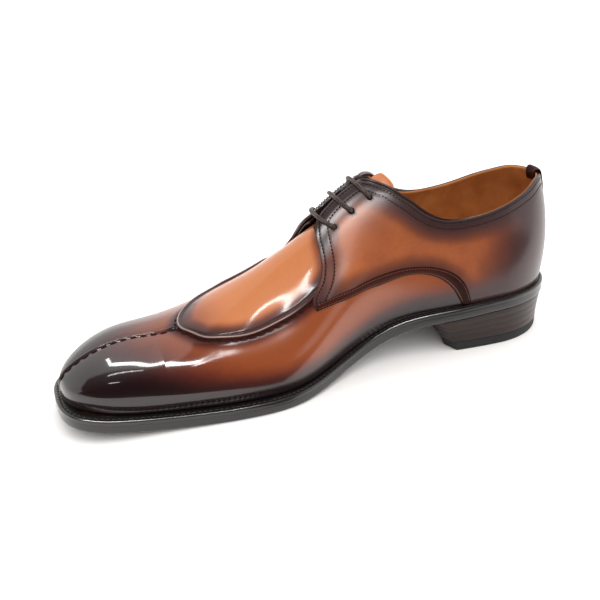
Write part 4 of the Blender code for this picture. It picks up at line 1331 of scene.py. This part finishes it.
def bow(name, rows_, count, only):
    """Bent light tube two metres up, through rows of x, y, width, radiance."""
    rows_ = np.array(rows_, float)
    w = np.concatenate([[0], np.cumsum(np.linalg.norm(np.diff(rows_[:, :2], axis=0), axis=1))])
    q = spline(w, rows_)(np.linspace(0, w[-1], count + 1))
    for k, (a, b) in enumerate(zip(q[:-1], q[1:])):
        d = .08 * (b - a)[:2]
        strip('%s_%d' % (name, k), (*(a[:2] - d), 2), (*(b[:2] + d), 2), (a[2] + b[2]) / 2, (a[3] + b[3]) / 2, only, fill=False)


def build_world():
    """White sweep behind and beside the shoe; the room on the near side is dark, so that the polish stays deep."""
    w = bpy.data.worlds.new('studio')
    w.use_nodes = True
    n, link = w.node_tree.nodes, w.node_tree.links.new
    at, sep, dot = n.new('ShaderNodeTexCoord'), n.new('ShaderNodeSeparateXYZ'), n.new('ShaderNodeVectorMath')
    dot.operation = 'DOT_PRODUCT'
    dot.inputs[1].default_value = (np.cos(np.radians(62)), np.sin(np.radians(62)), 0)
    link(at.outputs['Generated'], sep.inputs[0])
    link(at.outputs['Generated'], dot.inputs[0])
    lift = n.new('ShaderNodeMapRange')
    lift.inputs['From Min'].default_value = -1.0
    link(sep.outputs['Z'], lift.inputs['Value'])
    bound = n.new('ShaderNodeValToRGB')             # how wide the dark side is, from below the horizon to overhead
    rows_ = ((0.0, .36), (.40, .36), (.47, 1.0), (.68, 1.0), (.85, .48), (1.0, .48))
    while len(bound.color_ramp.elements) < len(rows_):
        bound.color_ramp.elements.new(.5)
    for e, (pos, v) in zip(bound.color_ramp.elements, rows_):
        e.position, e.color = pos, (v, v, v, 1)
    link(lift.outputs['Result'], bound.inputs['Fac'])
    diff = n.new('ShaderNodeMath')
    diff.operation = 'SUBTRACT'
    link(dot.outputs['Value'], diff.inputs[0])
    link(bound.outputs['Color'], diff.inputs[1])
    ramp = n.new('ShaderNodeValToRGB')
    stops = ((0.0, 1.05), (.48, 1.05), (.54, .025), (1.0, .025))
    while len(ramp.color_ramp.elements) < len(stops):
        ramp.color_ramp.elements.new(.5)
    for e, (pos, v) in zip(ramp.color_ramp.elements, stops):
        e.position, e.color = pos, (v, v, v, 1)
    shift = n.new('ShaderNodeMapRange')
    shift.inputs['From Min'].default_value, shift.inputs['From Max'].default_value = -1.0, 0.0
    link(diff.outputs[0], shift.inputs['Value'])
    link(shift.outputs['Result'], ramp.inputs['Fac'])
    link(ramp.outputs['Color'], n['Background'].inputs['Color'])
    n['Background'].inputs['Strength'].default_value = 1.0
    bpy.context.scene.world = w


def sky(name, az, el, irradiance, spread, only=None):
    """Broad soft light from one side of the sky, left out of the reflections."""
    light = bpy.data.lights.new(name, 'SUN')
    light.energy, light.angle = irradiance, np.radians(spread)
    obj = bpy.data.objects.new(name, light)
    a, e = np.radians(az), np.radians(el)
    z = np.array([np.cos(a) * np.cos(e), np.sin(a) * np.cos(e), np.sin(e)])
    x = np.cross((0, 0, 1.0), z)
    x /= np.linalg.norm(x)
    y = np.cross(z, x)
    m = Matrix.Identity(4)
    for r in range(3):
        m[r][0], m[r][1], m[r][2] = x[r], y[r], z[r]
    obj.matrix_world = m
    obj.visible_glossy = False
    if only:
        obj.light_linking.receiver_collection = only
    bpy.context.scene.collection.objects.link(obj)


build_world()
ON_TOE = lit('lit_toe', side_toe)
ON_REAR = lit('lit_rear', side_rear)
ON_APRON = lit('lit_apron', apron, lip)
ON_QUARTERS = lit('lit_quarters', *quarters, tongue)
# light tubes two metres up: for which pieces, x0, y0, x1, y1, width, radiance
TUBES = (
    (ON_TOE, .82, -1.37, .80, -.85, .10, 20),
    (ON_TOE, 1.25, .70, .90, 1.10, .12, 9),
    (ON_REAR, .00, .70, .09, .73, .08, 22),
    (ON_APRON, -.10, .78, .17, 1.17, .05, 62),
    (ON_APRON, .17, 1.17, .85, 2.00, .065, 58),
    (ON_QUARTERS, 1.00, 2.40, .55, 2.30, .40, 17),
    (ON_QUARTERS, .55, 2.30, .15, 2.10, .40, 21),
    (ON_QUARTERS, .15, 2.10, -.15, 2.40, .30, 14),
    (ON_QUARTERS, .35, 2.60, -.15, 3.20, .60, 6),
    (ON_QUARTERS, 1.25, .70, .75, 1.30, .40, 24),
)
bow('bow_toe', ((.81, -.85, .16, 20), (.33, -.50, .19, 20), (.02, -.30, .18, 20), (-.13, -.08, .14, 20), (-.26, .02, .12, 20)), 14, ON_TOE)
bow('bow_rear', ((-.175, -.03, .06, 22), (-.15, .19, .085, 26), (-.05, .44, .09, 30), (.07, .62, .08, 32)), 10, ON_REAR)
bow('bow_low', ((1.0, -.20, .08, 9), (.40, .07, .08, 9), (.0, .22, .08, 7)), 4, ON_TOE)
for k, (only, x0, y0, x1, y1, width, radiance) in enumerate(TUBES):
    strip('tube_%02d' % k, (x0, y0, 2), (x1, y1, 2), width, radiance, only, fill=False)
strip('tube_main', (-.4, .95, 2), (1.2, .6, 2), .12, 22, lit('lit_rest', *[o for o in bpy.context.scene.objects if o.type == 'MESH' and o not in (side_toe, side_rear, side_far, apron, lip, *quarters, tongue, floor_back, floor_front)]))
sky('soft_top', 75, 62, 1.9, 110)
sky('soft_sides', 75, 62, .35, 110, lit('lit_sides', side_toe, side_rear))
sky('soft_apron', 75, 62, .35, 110, ON_APRON)
sky('soft_quarters', 75, 50, .25, 110, ON_QUARTERS)
strip('tube_welt', (-.2, 1.0, 2), (1.3, .6, 2), .2, 60, lit('lit_welt', welt), fill=False)
sky('floor_light', 75, 70, 2.2, 110, lit('lit_floor', floor_back, floor_front))
bpy.context.scene.view_settings.view_transform = 'Standard'
bpy.context.scene.view_settings.look = 'None'

bpy.context.view_layer.update()
